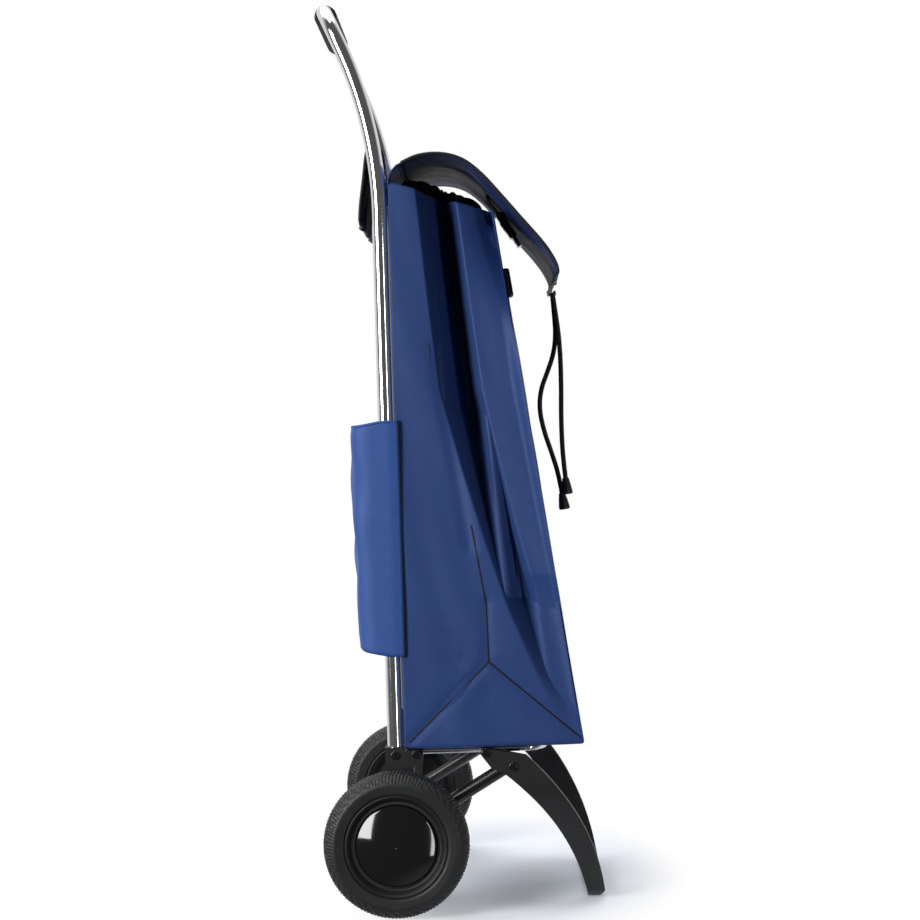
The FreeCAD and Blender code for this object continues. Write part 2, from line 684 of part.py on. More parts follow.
def make_cords():
    right = [(111.0, -4.7, 715.3), (114.6, -5.0, 692.0), (118.6, -5.3, 665.0),
             (120.8, -5.0, 634.0), (121.6, -4.8, 601.0), (121.5, -5.0, 568.0),
             (122.4, -5.3, 538.0), (124.3, -5.0, 512.0), (127.0, -5.0, 490.0)]
    left = [(111.0, 4.7, 715.3), (113.2, 4.9, 692.0), (115.2, 4.4, 666.0), (112.6, 4.6, 642.0),
            (105.0, 4.8, 620.0), (97.0, 4.6, 599.0), (95.0, 4.4, 575.0), (100.8, 4.8, 548.0),
            (110.8, 5.0, 520.0), (119.0, 4.6, 494.0), (123.0, 4.5, 471.0)]
    for side, route in (("right", right), ("left", left)):
        points = [V(*p) for p in route]
        wire = cord_wire(points)
        cord = rod(wire, cord_radius)
        expected = pi * cord_radius ** 2 * wire.Length
        print("draw_cord_" + side, "length", round(wire.Length, 1),
              "volume ratio", round(cord.Volume / expected, 4))
        save("draw_cord_" + side, cord)
        down = (points[-1] - points[-2]).normalize()
        bell = Part.makeCone(cord_radius + 1.2, cord_end_radius, cord_end_length, points[-1], down)
        rims = [e for e in bell.Edges if e.Length > 2 * pi * cord_end_radius * 0.9]
        save("cord_end_" + side, bell.makeFillet(2.0, rims))
    return [(V(*route[0]), V(*route[1])) for route in (right, left)]


def make_eyelets(hem, starts):
    """Rings under the hem round each cord's first run."""
    height, below = 5.0, 2.0
    rings = []
    for start, ahead in starts:
        up = (start - ahead).normalize()
        foot = start - up * below
        ring = Part.makeCylinder(cord_radius + 1.3, height, foot, up)
        ring = ring.cut(Part.makeCylinder(cord_radius + eyelet_play, height, foot, up))
        rings.append(ring.cut(hem))
    save("cord_eyelets", *rings)


# ---- everything ---------------------------------------------------------------------------
solid_tube, crossbar_u = make_frame()
make_sockets(solid_tube)
make_frame_screws()
make_axle()
make_wheels()
make_platform()
make_struts()
make_stand()
make_bag()
make_pocket()
make_flap(crossbar_u)
hem = make_lid()
make_straps()
make_eyelets(hem, make_cords())
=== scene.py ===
"""Two-wheel shopping trolley: cloth, tyres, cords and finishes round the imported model."""
import json

import bmesh
import bpy
import numpy as np
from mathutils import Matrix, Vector


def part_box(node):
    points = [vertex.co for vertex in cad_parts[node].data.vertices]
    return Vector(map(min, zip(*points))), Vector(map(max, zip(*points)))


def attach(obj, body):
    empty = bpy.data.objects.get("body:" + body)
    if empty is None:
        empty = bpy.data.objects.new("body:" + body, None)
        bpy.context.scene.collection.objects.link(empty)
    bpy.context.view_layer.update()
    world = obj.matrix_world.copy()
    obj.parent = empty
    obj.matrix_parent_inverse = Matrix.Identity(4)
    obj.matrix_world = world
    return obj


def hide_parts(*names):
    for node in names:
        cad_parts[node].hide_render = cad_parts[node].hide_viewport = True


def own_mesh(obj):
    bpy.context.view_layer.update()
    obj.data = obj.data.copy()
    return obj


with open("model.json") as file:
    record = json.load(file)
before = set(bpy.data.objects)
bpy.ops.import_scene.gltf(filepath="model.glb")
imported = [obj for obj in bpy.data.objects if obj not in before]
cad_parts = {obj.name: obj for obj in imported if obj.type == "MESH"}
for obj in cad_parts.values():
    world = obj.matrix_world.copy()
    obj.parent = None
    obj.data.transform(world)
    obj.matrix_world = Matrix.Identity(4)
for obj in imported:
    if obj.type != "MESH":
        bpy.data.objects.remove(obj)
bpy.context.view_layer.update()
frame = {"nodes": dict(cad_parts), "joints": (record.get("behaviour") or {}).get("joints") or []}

MM = 0.001
NODES = frame["nodes"]
JOINTS = {j["name"]: j for j in frame["joints"]}
SIDES = {"left": 1.0, "right": -1.0}

# ---- the leaning frame --------------------------------------------------------------------
# u runs forward from the tubes, h up along them, both from the middle of the axle.
LEAN = np.radians(1.72)
AXLE = np.array([JOINTS["wheel_left_spin"]["pos_m"][i] for i in (0, 2)])


def placed(u, y, h):
    """Points of the leaning frame (u, y, h arrays) as x, y, z."""
    u, y, h = np.broadcast_arrays(u, y, h)
    x = AXLE[0] + u * np.cos(LEAN) - h * np.sin(LEAN)
    z = AXLE[1] + u * np.sin(LEAN) + h * np.cos(LEAN)
    return np.stack([x, y, z], axis=-1).astype(float)


def upright(points):
    """x, y, z points as u, y, h of the leaning frame."""
    p = np.asarray(points, float)
    dx, dz = p[..., 0] - AXLE[0], p[..., 2] - AXLE[1]
    u = dx * np.cos(LEAN) + dz * np.sin(LEAN)
    h = dz * np.cos(LEAN) - dx * np.sin(LEAN)
    return np.stack([u, p[..., 1], h], axis=-1)


def vertices(name):
    """A CAD node's points, in the leaning frame."""
    mesh = NODES[name].data
    flat = np.empty(len(mesh.vertices) * 3)
    mesh.vertices.foreach_get("co", flat)
    return upright(flat.reshape(-1, 3))


def lean_box(name):
    points = vertices(name)
    return points.min(axis=0), points.max(axis=0)


# ---- meshes -------------------------------------------------------------------------------
def grid_faces(rows, cols, closed_rows, closed_cols, flip):
    """Quads of a rows x cols grid, as an index array."""
    r = np.arange(rows if closed_rows else rows - 1)
    c = np.arange(cols if closed_cols else cols - 1)
    r, c = [a.ravel() for a in np.meshgrid(r, c, indexing="ij")]
    r1, c1 = (r + 1) % rows, (c + 1) % cols
    quads = np.stack([r * cols + c, r * cols + c1, r1 * cols + c1, r1 * cols + c], axis=1)
    return quads[:, ::-1] if flip else quads


def add_mesh(name, points, faces, uv=None, smooth=True):
    """Mesh object from an (n, 3) array and lists of corner indices; uv is one pair a point."""
    mesh = bpy.data.meshes.new(name)
    mesh.from_pydata(points.tolist(), [], [list(map(int, f)) for f in faces])
    if uv is not None:
        layer = mesh.uv_layers.new(name="cloth")
        corners = np.empty(len(mesh.loops), dtype=np.int32)
        mesh.loops.foreach_get("vertex_index", corners)
        layer.data.foreach_set("uv", np.asarray(uv, float)[corners].ravel())
    mesh.polygons.foreach_set("use_smooth", [smooth] * len(mesh.polygons))
    piece = bpy.data.objects.new(name, mesh)
    bpy.context.scene.collection.objects.link(piece)
    return piece


def grid(name, points, closed_rows=False, closed_cols=False, flip=False, caps=(), uv=None):
    """Surface through a rows x cols array of points; caps names the end rows that a fan closes."""
    rows, cols = points.shape[:2]
    flat = points.reshape(-1, 3)
    faces = list(grid_faces(rows, cols, closed_rows, closed_cols, flip))
    uv_flat = None if uv is None else uv.reshape(-1, 2)
    for cap in caps:
        row = 0 if cap == "first" else rows - 1
        ring = np.arange(cols) + row * cols
        centre = len(flat)
        flat = np.vstack([flat, points[row].mean(axis=0)])
        if uv_flat is not None:
            uv_flat = np.vstack([uv_flat, uv_flat[ring].mean(axis=0)])
        turn = (cap == "first") != flip
        ahead = np.roll(ring, -1)
        fan = np.stack([ring, np.full(cols, centre), ahead] if turn else
                       [ahead, np.full(cols, centre), ring], axis=1)
        faces += list(fan)
    return add_mesh(name, flat, faces, uv_flat)


def lathe(name, profile, centre, turns=160, out=1.0, ripple=None):
    """Solid of revolution across the trolley: profile holds (radius, y) pairs, a closed line.

    out is +1 or -1 for the side that the profile's y points to; ripple(angle, radius, y) adds to
    the radius.
    """
    angle = np.linspace(0, 2 * np.pi, turns, endpoint=False)
    r, y = np.array(profile).T
    radius = np.broadcast_to(r[:, None], (len(r), turns)).copy()
    if ripple is not None:
        radius += ripple(angle[None, :], r[:, None], y[:, None])
    x = centre[0] + radius * np.cos(angle)
    z = centre[2] + radius * np.sin(angle)
    yy = centre[1] + out * np.broadcast_to(y[:, None], radius.shape)
    return grid(name, np.stack([x, yy, z], axis=-1), closed_rows=True, closed_cols=True, flip=out < 0)


def rounded_line(points, radii, steps=6):
    """Polyline in a plane with each inner corner turned into an arc of `steps` points."""
    points = [np.array(p, float) for p in points]
    line = [points[0]]
    for before, corner, after, radius in zip(points, points[1:], points[2:], radii):
        a = (before - corner) / np.linalg.norm(before - corner)
        b = (after - corner) / np.linalg.norm(after - corner)
        half = np.arccos(np.clip(a @ b, -1, 1)) / 2
        reach = min(radius / np.tan(half), 0.48 * np.linalg.norm(before - corner),
                    0.48 * np.linalg.norm(after - corner))
        t = np.linspace(0, 1, steps)[:, None]
        start, end = corner + a * reach, corner + b * reach
        line += list((1 - t) ** 2 * start + 2 * t * (1 - t) * corner + t ** 2 * end)
    line.append(points[-1])
    return np.array(line)


def distances(line):
    """Distance of each point of a line from its first one, measured along it."""
    return np.concatenate([[0], np.cumsum(np.linalg.norm(np.diff(line, axis=0), axis=1))])


def pairs(first, second):
    """Two arrays, stretched over one another, as the pairs of a map."""
    return np.stack(np.broadcast_arrays(first, second), axis=-1)


def resampled(line, count):
    """`count` points evenly spaced along a line."""
    line = np.asarray(line, float)
    run = distances(line)
    at = np.linspace(0, run[-1], count)
    return np.stack([np.interp(at, run, line[:, k]) for k in range(line.shape[1])], axis=1)


def spline(points, count):
    """Smooth curve through a few points in a plane: Catmull-Rom runs, evenly resampled."""
    p = np.asarray(points, float)
    p = np.vstack([2 * p[0] - p[1], p, 2 * p[-1] - p[-2]])
    t = np.linspace(0, 1, 24, endpoint=False)[:, None]
    runs = []
    for a, b, c, d in zip(p, p[1:], p[2:], p[3:]):
        runs.append(0.5 * (2 * b + (c - a) * t + (2 * a - 5 * b + 4 * c - d) * t ** 2
                           + (3 * b - a - 3 * c + d) * t ** 3))
    return resampled(np.vstack(runs + [p[-2:-1]]), count)


def ring_frames(path):
    """Two unit directions across a path at each point, carried along it without twisting."""
    tangent = np.gradient(path, axis=0)
    tangent /= np.linalg.norm(tangent, axis=1, keepdims=True)
    side = np.cross(tangent[0], [0.0, 1.0, 0.0])
    if np.linalg.norm(side) < 0.2:
        side = np.cross(tangent[0], [1.0, 0.0, 0.0])
    first = []
    for t in tangent:
        side = side - t * (side @ t)
        side /= np.linalg.norm(side)
        first.append(side)
    first = np.array(first)
    return first, np.cross(tangent, first)


def tube(name, path, radius, around=12, ripple=None):
    """Round tube along a path with rounded closed ends; ripple(angle, distance) adds to the radius."""
    first, second = ring_frames(path)
    angle = np.linspace(0, 2 * np.pi, around, endpoint=False)
    run = distances(path)
    r = np.full((len(path), around), radius)
    if ripple is not None:
        r = r + ripple(angle[None, :], run[:, None])
    points = (path[:, None] + first[:, None] * (r * np.cos(angle))[..., None]
              + second[:, None] * (r * np.sin(angle))[..., None])
    uv = pairs(run[:, None], angle[None, :] * radius)
    return grid(name, points, closed_cols=True, caps=("first", "last"), uv=uv)


def slab(name, middle, normal, thickness, uv):
    """Sheet of even thickness round a grid of points, closed along all four edges."""
    half = normal * (thickness / 2)
    front, back = middle + half, middle - half
    rows, cols = middle.shape[:2]
    ring = np.concatenate([front, back[:, ::-1]], axis=1)
    rim_uv = np.concatenate([uv, uv[:, ::-1]], axis=1)
    points = ring.reshape(-1, 3)
    faces = list(grid_faces(rows, 2 * cols, False, True, False))
    c = np.arange(cols - 1)
    first = np.stack([c, 2 * cols - 1 - c, 2 * cols - 2 - c, c + 1], axis=1)
    faces += list(first)
    faces += list((first + (rows - 1) * 2 * cols)[:, ::-1])
    return add_mesh(name, points, faces, rim_uv.reshape(-1, 2))


def surface_normals(points):
    du, dv = np.gradient(points, axis=0), np.gradient(points, axis=1)
    normal = np.cross(du, dv)
    return normal / np.maximum(np.linalg.norm(normal, axis=-1, keepdims=True), 1e-12)


def closed_sheet(name, middle, thickness, uv):
    """Sheet of cloth round its middle surface, with its faces outwards."""
    return outward(slab(name, middle, surface_normals(middle), thickness, uv))


def outward(piece):
    """Turn a closed mesh's faces outwards."""
    mesh = bmesh.new()
    mesh.from_mesh(piece.data)
    bmesh.ops.recalc_face_normals(mesh, faces=mesh.faces)
    mesh.to_mesh(piece.data)
    mesh.free()
    return piece


def waves(seed, count, reach, *coordinates):
    """Smooth irregular ripples between about -1 and 1: a sum of sines with set random waves.

    reach holds the shortest and longest wavelength for each coordinate.
    """
    random = np.random.default_rng(seed)
    total = 0.0
    for _ in range(count):
        phase = random.uniform(0, 2 * np.pi)
        for coordinate, (short, long) in zip(coordinates, reach):
            phase = phase + 2 * np.pi * coordinate / random.uniform(short, long) * random.choice([-1, 1])
        total = total + np.sin(phase)
    return total / np.sqrt(count)


def step(x, low, high):
    """Smooth step from 0 at low to 1 at high."""
    t = np.clip((x - low) / (high - low), 0, 1)
    return t * t * (3 - 2 * t)


def finish_piece(piece, body, material, *cad_nodes, slot=None):
    """Give a piece its body and finish, and name the CAD nodes it stands for."""
    piece.data.materials.clear()
    piece.data.materials.append(material)
    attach(piece, body)
    if cad_nodes:
        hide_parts(*cad_nodes)
    return piece


# ---- camera, light and floor --------------------------------------------------------------
CAMERA_PLACE = (0.041, -2.489, 0.570)
CAMERA_LENS = 79.83
CAMERA_SHIFT = (-0.03804348, -0.05108696)


def make_camera():
    """Level camera straight from the trolley's right-hand side."""
    data = bpy.data.cameras.new("camera")
    data.sensor_width = 36.0
    data.lens = CAMERA_LENS
    data.shift_x, data.shift_y = CAMERA_SHIFT
    data.clip_end = 50.0
    camera = bpy.data.objects.new("camera", data)
    camera.location = CAMERA_PLACE
    camera.rotation_euler = (np.pi / 2, 0, 0)
    bpy.context.scene.collection.objects.link(camera)
    bpy.context.scene.camera = camera


def area_light(name, place, target, size, power, colour=(1, 1, 1)):
    data = bpy.data.lights.new(name, "AREA")
    data.shape = "RECTANGLE"
    data.size, data.size_y = size
    data.energy = power
    data.color = colour
    light = bpy.data.objects.new(name, data)
    light.location = place
    light.rotation_euler = (Vector(target) - Vector(place)).to_track_quat("-Z", "Y").to_euler()
    bpy.context.scene.collection.objects.link(light)


WORLD_LIGHT = ((0.03, 0.42), (0.11, 0.95))
WORLD_FRONT, WORLD_BACK = -0.3, 0.35


def make_world():
    """White to the eye, dim for cloth, and a soft gradient for what glossy parts mirror."""
    world = bpy.data.worlds.new("studio")
    bpy.context.scene.world = world
    world.use_nodes = True
    tree = world.node_tree
    tree.nodes.clear()
    link = tree.links.new

    def node(kind):
        return tree.nodes.new("ShaderNode" + kind)

    output, ray = node("OutputWorld"), node("LightPath")
    rooms = []
    for dark, bright in WORLD_LIGHT:
        coordinate, split, spread = node("TexCoord"), node("SeparateXYZ"), node("MapRange")
        room = node("Background")
        link(coordinate.outputs["Generated"], split.inputs[0])
        link(split.outputs["Y"], spread.inputs["Value"])
        for key, value in (("From Min", WORLD_FRONT), ("From Max", WORLD_BACK), ("To Min", dark),
                           ("To Max", bright)):
            spread.inputs[key].default_value = value
        link(spread.outputs[0], room.inputs["Strength"])
        rooms.append(room.outputs[0])
    seen = node("Background")
    seen.inputs["Color"].default_value = (1, 1, 1, 1)
    glossy, whole = node("MixShader"), node("MixShader")
    for mix, share, first, second in (
            (glossy, ray.outputs["Is Glossy Ray"], rooms[0], rooms[1]),
            (whole, ray.outputs["Is Camera Ray"], glossy.outputs[0], seen.outputs[0])):
        for socket, source in zip(mix.inputs, (share, first, second)):
            link(source, socket)
    link(whole.outputs[0], output.inputs["Surface"])


def make_studio():
    make_world()
    scene = bpy.context.scene
    scene.view_settings.view_transform = "Standard"
    area_light("soft_left", (-2.0, -2.1, 1.02), (-0.07, -0.2, 0.55), (1.25, 2.1), 98)
    area_light("soft_right", (1.75, -2.1, 0.05), (-0.07, -0.2, 0.15), (0.26, 2.0), 13)
    area_light("top", (-0.5, 0.5, 2.9), (0.0, 0.0, 0.0), (2.6, 2.6), 70)
    corners = np.array([[-1, -1], [1, -1], [1, 1], [-1, 1]]) * 9.0
    floor = add_mesh("floor", np.column_stack([corners, np.zeros(4)]), [[0, 1, 2, 3]], smooth=False)
    floor.data.materials.append(floor_finish())


# ---- shader expressions -------------------------------------------------------------------
class Value:
    """A socket of a material, on which Python's operators add Math nodes."""

    def __init__(self, finish, socket):
        self.finish, self.socket = finish, socket

    def maths(self, operation, *others):
        node = self.finish.node("Math", {"operation": operation},
                                {i: o for i, o in enumerate((self, *others))})
        return Value(self.finish, node.outputs[0])

    def __add__(self, other):
        return self.maths("ADD", other)

    def __sub__(self, other):
        return self.maths("SUBTRACT", other)

    def __rsub__(self, other):
        return (self * -1.0) + other

    def __mul__(self, other):
        return self.maths("MULTIPLY", other)

    def __truediv__(self, other):
        return self.maths("DIVIDE", other)

    def __pow__(self, other):
        return self.maths("POWER", other)

    __radd__, __rmul__ = __add__, __mul__

    def sine(self):
        return self.maths("SINE")

    def size(self):
        return self.maths("ABSOLUTE")

    def least(self, other):
        return self.maths("MINIMUM", other)

    def most(self, other):
        return self.maths("MAXIMUM", other)

    def ramp(self, low, high):
        """0 at low, 1 at high, smooth between."""
        node = self.finish.node("MapRange", {"interpolation_type": "SMOOTHSTEP"},
                                {0: self, 1: low, 2: high})
        return Value(self.finish, node.outputs[0])


class Finish:
    """A material and its principled shader, with one method that adds any node."""

    def __init__(self, name, **sockets):
        self.material = bpy.data.materials.new(name)
        self.material.use_nodes = True
        self.tree = self.material.node_tree
        self.shader = self.tree.nodes["Principled BSDF"]
        self.set(**sockets)

    def node(self, kind, settings=None, values=None):
        node = self.tree.nodes.new("ShaderNode" + kind)
        for key, value in (settings or {}).items():
            setattr(node, key, value)
        for key, value in (values or {}).items():
            self.plug(node.inputs[key], value)
        return node

    def plug(self, socket, value):
        if isinstance(value, Value):
            self.tree.links.new(value.socket, socket)
        elif isinstance(value, (tuple, list)) and len(socket.default_value) == 4:
            socket.default_value = (*value[:3], 1.0)
        else:
            socket.default_value = value

    def set(self, **sockets):
        for key, value in sockets.items():
            self.plug(self.shader.inputs[key.replace("_", " ")], value)

    def place(self, kind="Object", scale=(1, 1, 1), turn=(0, 0, 0)):
        """Coordinates of the piece, scaled and turned."""
        source = self.node("TexCoord").outputs[kind]
        node = self.node("Mapping", {}, {"Vector": Value(self, source), "Scale": Vector(scale),
                                         "Rotation": Vector(turn)})
        return Value(self, node.outputs[0])

    def axes(self, vector):
        node = self.node("SeparateXYZ", {}, {0: vector})
        return [Value(self, out) for out in node.outputs]

    def noise(self, vector, scale, detail=2.0, rough=0.5):
        node = self.node("TexNoise", {}, {"Vector": vector, "Scale": scale, "Detail": detail,
                                          "Roughness": rough})
        return Value(self, node.outputs["Fac"])

    def grain(self, scale, detail):
        """Noise fixed to the piece's own place."""
        return self.noise(self.place("Object"), scale, detail)

    def cells(self, vector, scale):
        node = self.node("TexVoronoi", {}, {"Vector": vector, "Scale": scale})
        return Value(self, node.outputs["Distance"])

    def blend(self, first, second, share):
        node = self.node("Mix", {"data_type": "RGBA"}, {"Factor": share})
        self.plug(node.inputs[6], first)
        self.plug(node.inputs[7], second)
        return Value(self, node.outputs[2])

    def relief(self, height, strength, distance):
        node = self.node("Bump", {}, {"Height": height, "Strength": strength, "Distance": distance})
        self.set(Normal=Value(self, node.outputs[0]))


def linear(*srgb):
    """8-bit display colour as linear values."""
    c = np.array(srgb) / 255.0
    return tuple(float(v) for v in np.where(c <= 0.04045, c / 12.92, ((c + 0.055) / 1.055) ** 2.4))


# ---- finishes -----------------------------------------------------------------------------
def cloth(name, light, dark, roughness=0.5, thread=0.00055, sheen=0.06):
    """Woven polyester: two sets of threads, a slight shade change between yarns, soft creases."""
    f = Finish(name, Roughness=roughness, Sheen_Weight=sheen, Sheen_Roughness=0.45,
               Specular_IOR_Level=0.3)
    across, along, _ = f.axes(f.place("UV"))
    turns = 2 * np.pi / thread
    warp, weft = (across * turns).sine(), (along * turns).sine()
    yarn = f.noise(f.place("UV", (900, 60, 1)), 1.0, 1.0) + f.noise(f.place("UV", (60, 900, 1)), 1.0, 1.0)
    mottle = f.grain(9.0, 3.0)
    shade = (yarn * 0.45 + mottle * 0.5 - 0.2).least(1.0).most(0.0)
    f.set(Base_Color=f.blend(dark, light, shade))
    rough = f.grain(40.0, 2.0)
    f.set(Roughness=rough * 0.14 + (roughness - 0.07))
    crease = f.noise(f.place("UV", (14, 5, 1)), 1.0, 3.0)
    f.relief(warp * weft * 0.10 + crease * 1.6, 0.35, 0.0008)
    return f.material


def coated_lining(name, dark, light):
    """Waterproof coated side of the cloth."""
    f = Finish(name, Specular_IOR_Level=0.08)
    f.set(Base_Color=f.blend(dark, light, f.grain(30.0, 3.0)))
    f.set(Roughness=f.grain(70.0, 2.0) * 0.15 + 0.42)
    f.relief(f.grain(260.0, 2.0), 0.25, 0.0006)
    return f.material


def chrome():
    """Plated tube: mirror with very fine drawing lines and a few dull spots."""
    f = Finish("chrome", Metallic=1.0, Base_Color=(0.86, 0.87, 0.89))
    lines = f.noise(f.place("Object", (900, 900, 14)), 1.0, 2.0)
    spots = f.grain(55.0, 3.0)
    f.set(Roughness=lines * 0.05 + spots.ramp(0.45, 0.8) * 0.05 + 0.05)
    return f.material


def gloss_black():
    f = Finish("gloss_black", Coat_Weight=0.6, Coat_Roughness=0.03, Base_Color=linear(14, 15, 16))
    f.set(Roughness=f.grain(60.0, 3.0) * 0.06 + 0.07)
    f.relief(f.grain(30.0, 1.0), 0.04, 0.0006)
    return f.material


def moulded_black(name, tone=(30, 30, 31), grain=1500.0, roughness=0.42):
    """Spark-eroded moulding: fine pits and a faint flow of tone."""
    f = Finish(name, Specular_IOR_Level=0.42)
    flow = f.grain(14.0, 3.0)
    dark, light = linear(*[c * 0.8 for c in tone]), linear(*[c * 1.25 for c in tone])
    f.set(Base_Color=f.blend(dark, light, flow))
    pits = f.cells(f.place("Object"), grain)
    wear = f.grain(90.0, 4.0)
    f.set(Roughness=wear * 0.16 + (roughness - 0.08))
    f.relief(pits * 0.6 + f.grain(grain * 0.4, 2.0), 0.22, 0.0004)
    return f.material


def painted_black():
    f = Finish("painted_black", Base_Color=linear(18, 18, 19), Coat_Weight=0.3)
    f.set(Roughness=f.grain(70.0, 3.0) * 0.15 + 0.22)
    f.relief(f.grain(700.0, 2.0), 0.12, 0.0003)
    return f.material


def tyre_rubber():
    f = Finish("tyre_rubber", Specular_IOR_Level=0.35)
    dust = f.grain(22.0, 4.0)
    f.set(Base_Color=f.blend(linear(22, 23, 24), linear(44, 45, 46), dust))
    f.set(Roughness=f.grain(120.0, 3.0) * 0.18 + 0.34)
    f.relief(f.grain(900.0, 3.0), 0.5, 0.0005)
    return f.material


def foam_grip():
    f = Finish("foam_grip", Specular_IOR_Level=0.3)
    f.set(Base_Color=f.blend(linear(20, 20, 21), linear(38, 38, 39), f.grain(80.0, 3.0)))
    f.set(Roughness=f.grain(60.0, 2.0) * 0.15 + 0.68)
    f.relief(f.cells(f.place("Object"), 900.0), 0.5, 0.0006)
    return f.material


def zinc():
    f = Finish("zinc", Metallic=1.0)
    patch = f.cells(f.place("Object"), 180.0)
    f.set(Base_Color=f.blend((0.48, 0.49, 0.50), (0.66, 0.66, 0.65), patch))
    f.set(Roughness=f.grain(300.0, 2.0) * 0.2 + 0.25)
    return f.material


def nylon():
    f = Finish("nylon", Specular_IOR_Level=0.5, Subsurface_Weight=0.1)
    f.set(Base_Color=f.blend((0.62, 0.61, 0.57), (0.74, 0.73, 0.69), f.grain(90.0, 2.0)))
    f.set(Roughness=f.grain(200.0, 2.0) * 0.1 + 0.35)
    return f.material


def webbing():
    """Ribbed tape: fine herringbone across the piece's own map."""
    f = Finish("webbing", Roughness=0.6, Sheen_Weight=0.15, Specular_IOR_Level=0.35)
    across, along, _ = f.axes(f.place("UV"))
    ribs = (across * (2 * np.pi / 0.0016) + (along * (2 * np.pi / 0.003)).sine() * 1.4).sine()
    f.set(Base_Color=f.blend(linear(12, 12, 14), linear(34, 34, 38), ribs * 0.5 + 0.5))
    f.relief(ribs, 0.5, 0.0005)
    return f.material


def braid():
    """Round braided cord: two sets of strands wound opposite ways."""
    f = Finish("braid", Roughness=0.62, Sheen_Weight=0.2, Specular_IOR_Level=0.35)
    along, around, _ = f.axes(f.place("UV"))
    one = (along * (2 * np.pi / 0.0032) + around * (2 * np.pi / 0.0031)).sine()
    two = (along * (2 * np.pi / 0.0032) - around * (2 * np.pi / 0.0031)).sine()
    strands = one * two
    f.set(Base_Color=f.blend(linear(16, 16, 17), linear(58, 57, 56), strands * 0.5 + 0.5))
    f.relief(strands, 0.6, 0.0006)
    return f.material


def floor_finish():
    """Pale floor near the trolley that thins out into the white round it."""
    f = Finish("floor", Roughness=0.6, Specular_IOR_Level=0.2, Base_Color=(0.90, 0.93, 1.0),
               Emission_Color=(0.86, 0.92, 1.0), Emission_Strength=0.14)
    x, y, _ = f.axes(f.place("Object"))
    across, away = (x - 0.05) / 0.24, (y - 0.06) / 0.37
    f.set(Alpha=1.0 - (across * across + away * away).ramp(0.2, 1.0))
    return f.material


def make_finishes():
    light, dark = linear(42, 72, 130), linear(24, 46, 98)
    return {
        "bag": cloth("bag_cloth", light, dark),
        "pocket": cloth("pocket_cloth", linear(52, 92, 162), linear(32, 62, 126)),
        "lid": cloth("lid_cloth", light, dark),
        "lining": coated_lining("lid_lining", linear(25, 38, 78), linear(44, 62, 116)),
        "collar": coated_lining("collar_lining", linear(7, 8, 13), linear(16, 18, 28)),
        "binding": cloth("binding_tape", linear(24, 25, 30), linear(9, 9, 12), thread=0.0009),
        "webbing": webbing(),
        "chrome": chrome(),
        "gloss": gloss_black(),
        "moulded": moulded_black("moulded_black"),
        "rim": moulded_black("rim_black", (26, 27, 28), 1900.0, 0.5),
        "painted": painted_black(),
        "tyre": tyre_rubber(),
        "grip": foam_grip(),
        "zinc": zinc(),
        "nylon": nylon(),
        "braid": braid(),
        "cord_end": moulded_black("cord_end_black", (40, 41, 43), 1200.0, 0.4),
        "board": moulded_black("board_black", (38, 38, 40), 700.0, 0.6),
    }


CAD_FINISHES = {
    "chrome": ("handle_tube", "crossbar", "platform_loop", "platform_sleeves",
               "platform_cross_rods"),
    "moulded": ("socket_left", "socket_right", "stand"),
    "painted": ("strut_left", "strut_right", "axle_spacer"),
    "zinc": ("axle", "axle_washers", "axle_clips"),
    "nylon": ("bush_left", "bush_right"),
    "rim": ("rim_left", "rim_right"),
    "gloss": ("hubcap_left", "hubcap_right", "buckle_female", "buckle_male", "platform_screws",
              "stand_screws", "socket_screws"),
    "grip": ("handle_grip",),
    "board": ("base_board",),
    "cord_end": ("cord_eyelets",),
}


def dress_cad(finishes):
    for finish, names in CAD_FINISHES.items():
        for name in names:
            for place in NODES[name].material_slots:
                place.material = finishes[finish]


# ---- bag ----------------------------------------------------------------------------------
LID_CLOTH = 1.5 * MM
POCKET_CLOTH = 1.4 * MM
WEBBING = 1.5 * MM


def flatten_with_fold(piece, bag):
    """Gives the piece a mesh of its own; the anchor at the bag's rear bottom is worked out but not used.
    """
    anchor = placed(bag.rear, 0.0, bag.bottom)
    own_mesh(piece)


class Bag:
    """Sizes of the bag, read from its CAD solid."""

    def __init__(self):
        low, high = lean_box("bag")
        self.rear, self.front, self.half = low[0], high[0], high[1]
        self.bottom, self.top = low[2], high[2]
        points = vertices("bag")
        mouth = points[points[:, 2] > self.top - 60 * MM]
        self.mouth_front_u = mouth[:, 0].max()
        front_line = mouth[mouth[:, 0] > self.mouth_front_u - 8 * MM]
        self.mouth_front_h = front_line[:, 2].max()

    def front_at(self, h):
        share = (h - self.bottom) / (self.mouth_front_h - self.bottom)
        return self.front + (self.mouth_front_u - self.front) * share

    def mouth(self, u):
        share = (u - self.rear) / (self.mouth_front_u - self.rear)
        return self.top + (self.mouth_front_h - self.top) * share


def segment_distance(u, h, a, b):
    """Distance of points (u, h) from the segment a to b."""
    a, b = np.array(a), np.array(b)
    run = b - a
    t = np.clip(((u - a[0]) * run[0] + (h - a[1]) * run[1]) / (run @ run), 0, 1)
    return np.hypot(u - a[0] - t * run[0], h - a[1] - t * run[1])


def fold_edge(h):
    """Where the rear strip of the side panel ends and the gusset dives inwards."""
    heights = np.array([100, 150, 192, 262, 342, 420, 502, 600, 690, 722, 736, 752]) * MM
    places = np.array([199, 181, 162, 134, 109, 86, 64, 54, 46, 42.5, 50, 51]) * MM
    return np.interp(h, heights, places)


def crease_lines(bag):
    """Stitched and pressed creases low on the side: an upside-down Y, and a line that fades upwards."""
    apex = (bag.rear + 99.7 * MM, bag.bottom + 97.8 * MM)
    corners = [(bag.rear, bag.bottom + 2 * MM), (bag.front - 1 * MM, bag.bottom + 4 * MM)]
    stem = [apex, (apex[0] - 1 * MM, apex[1] + 65 * MM), (apex[0] - 15.3 * MM, apex[1] + 157 * MM),
            (apex[0] - 24 * MM, apex[1] + 220 * MM)]
    return corners, stem


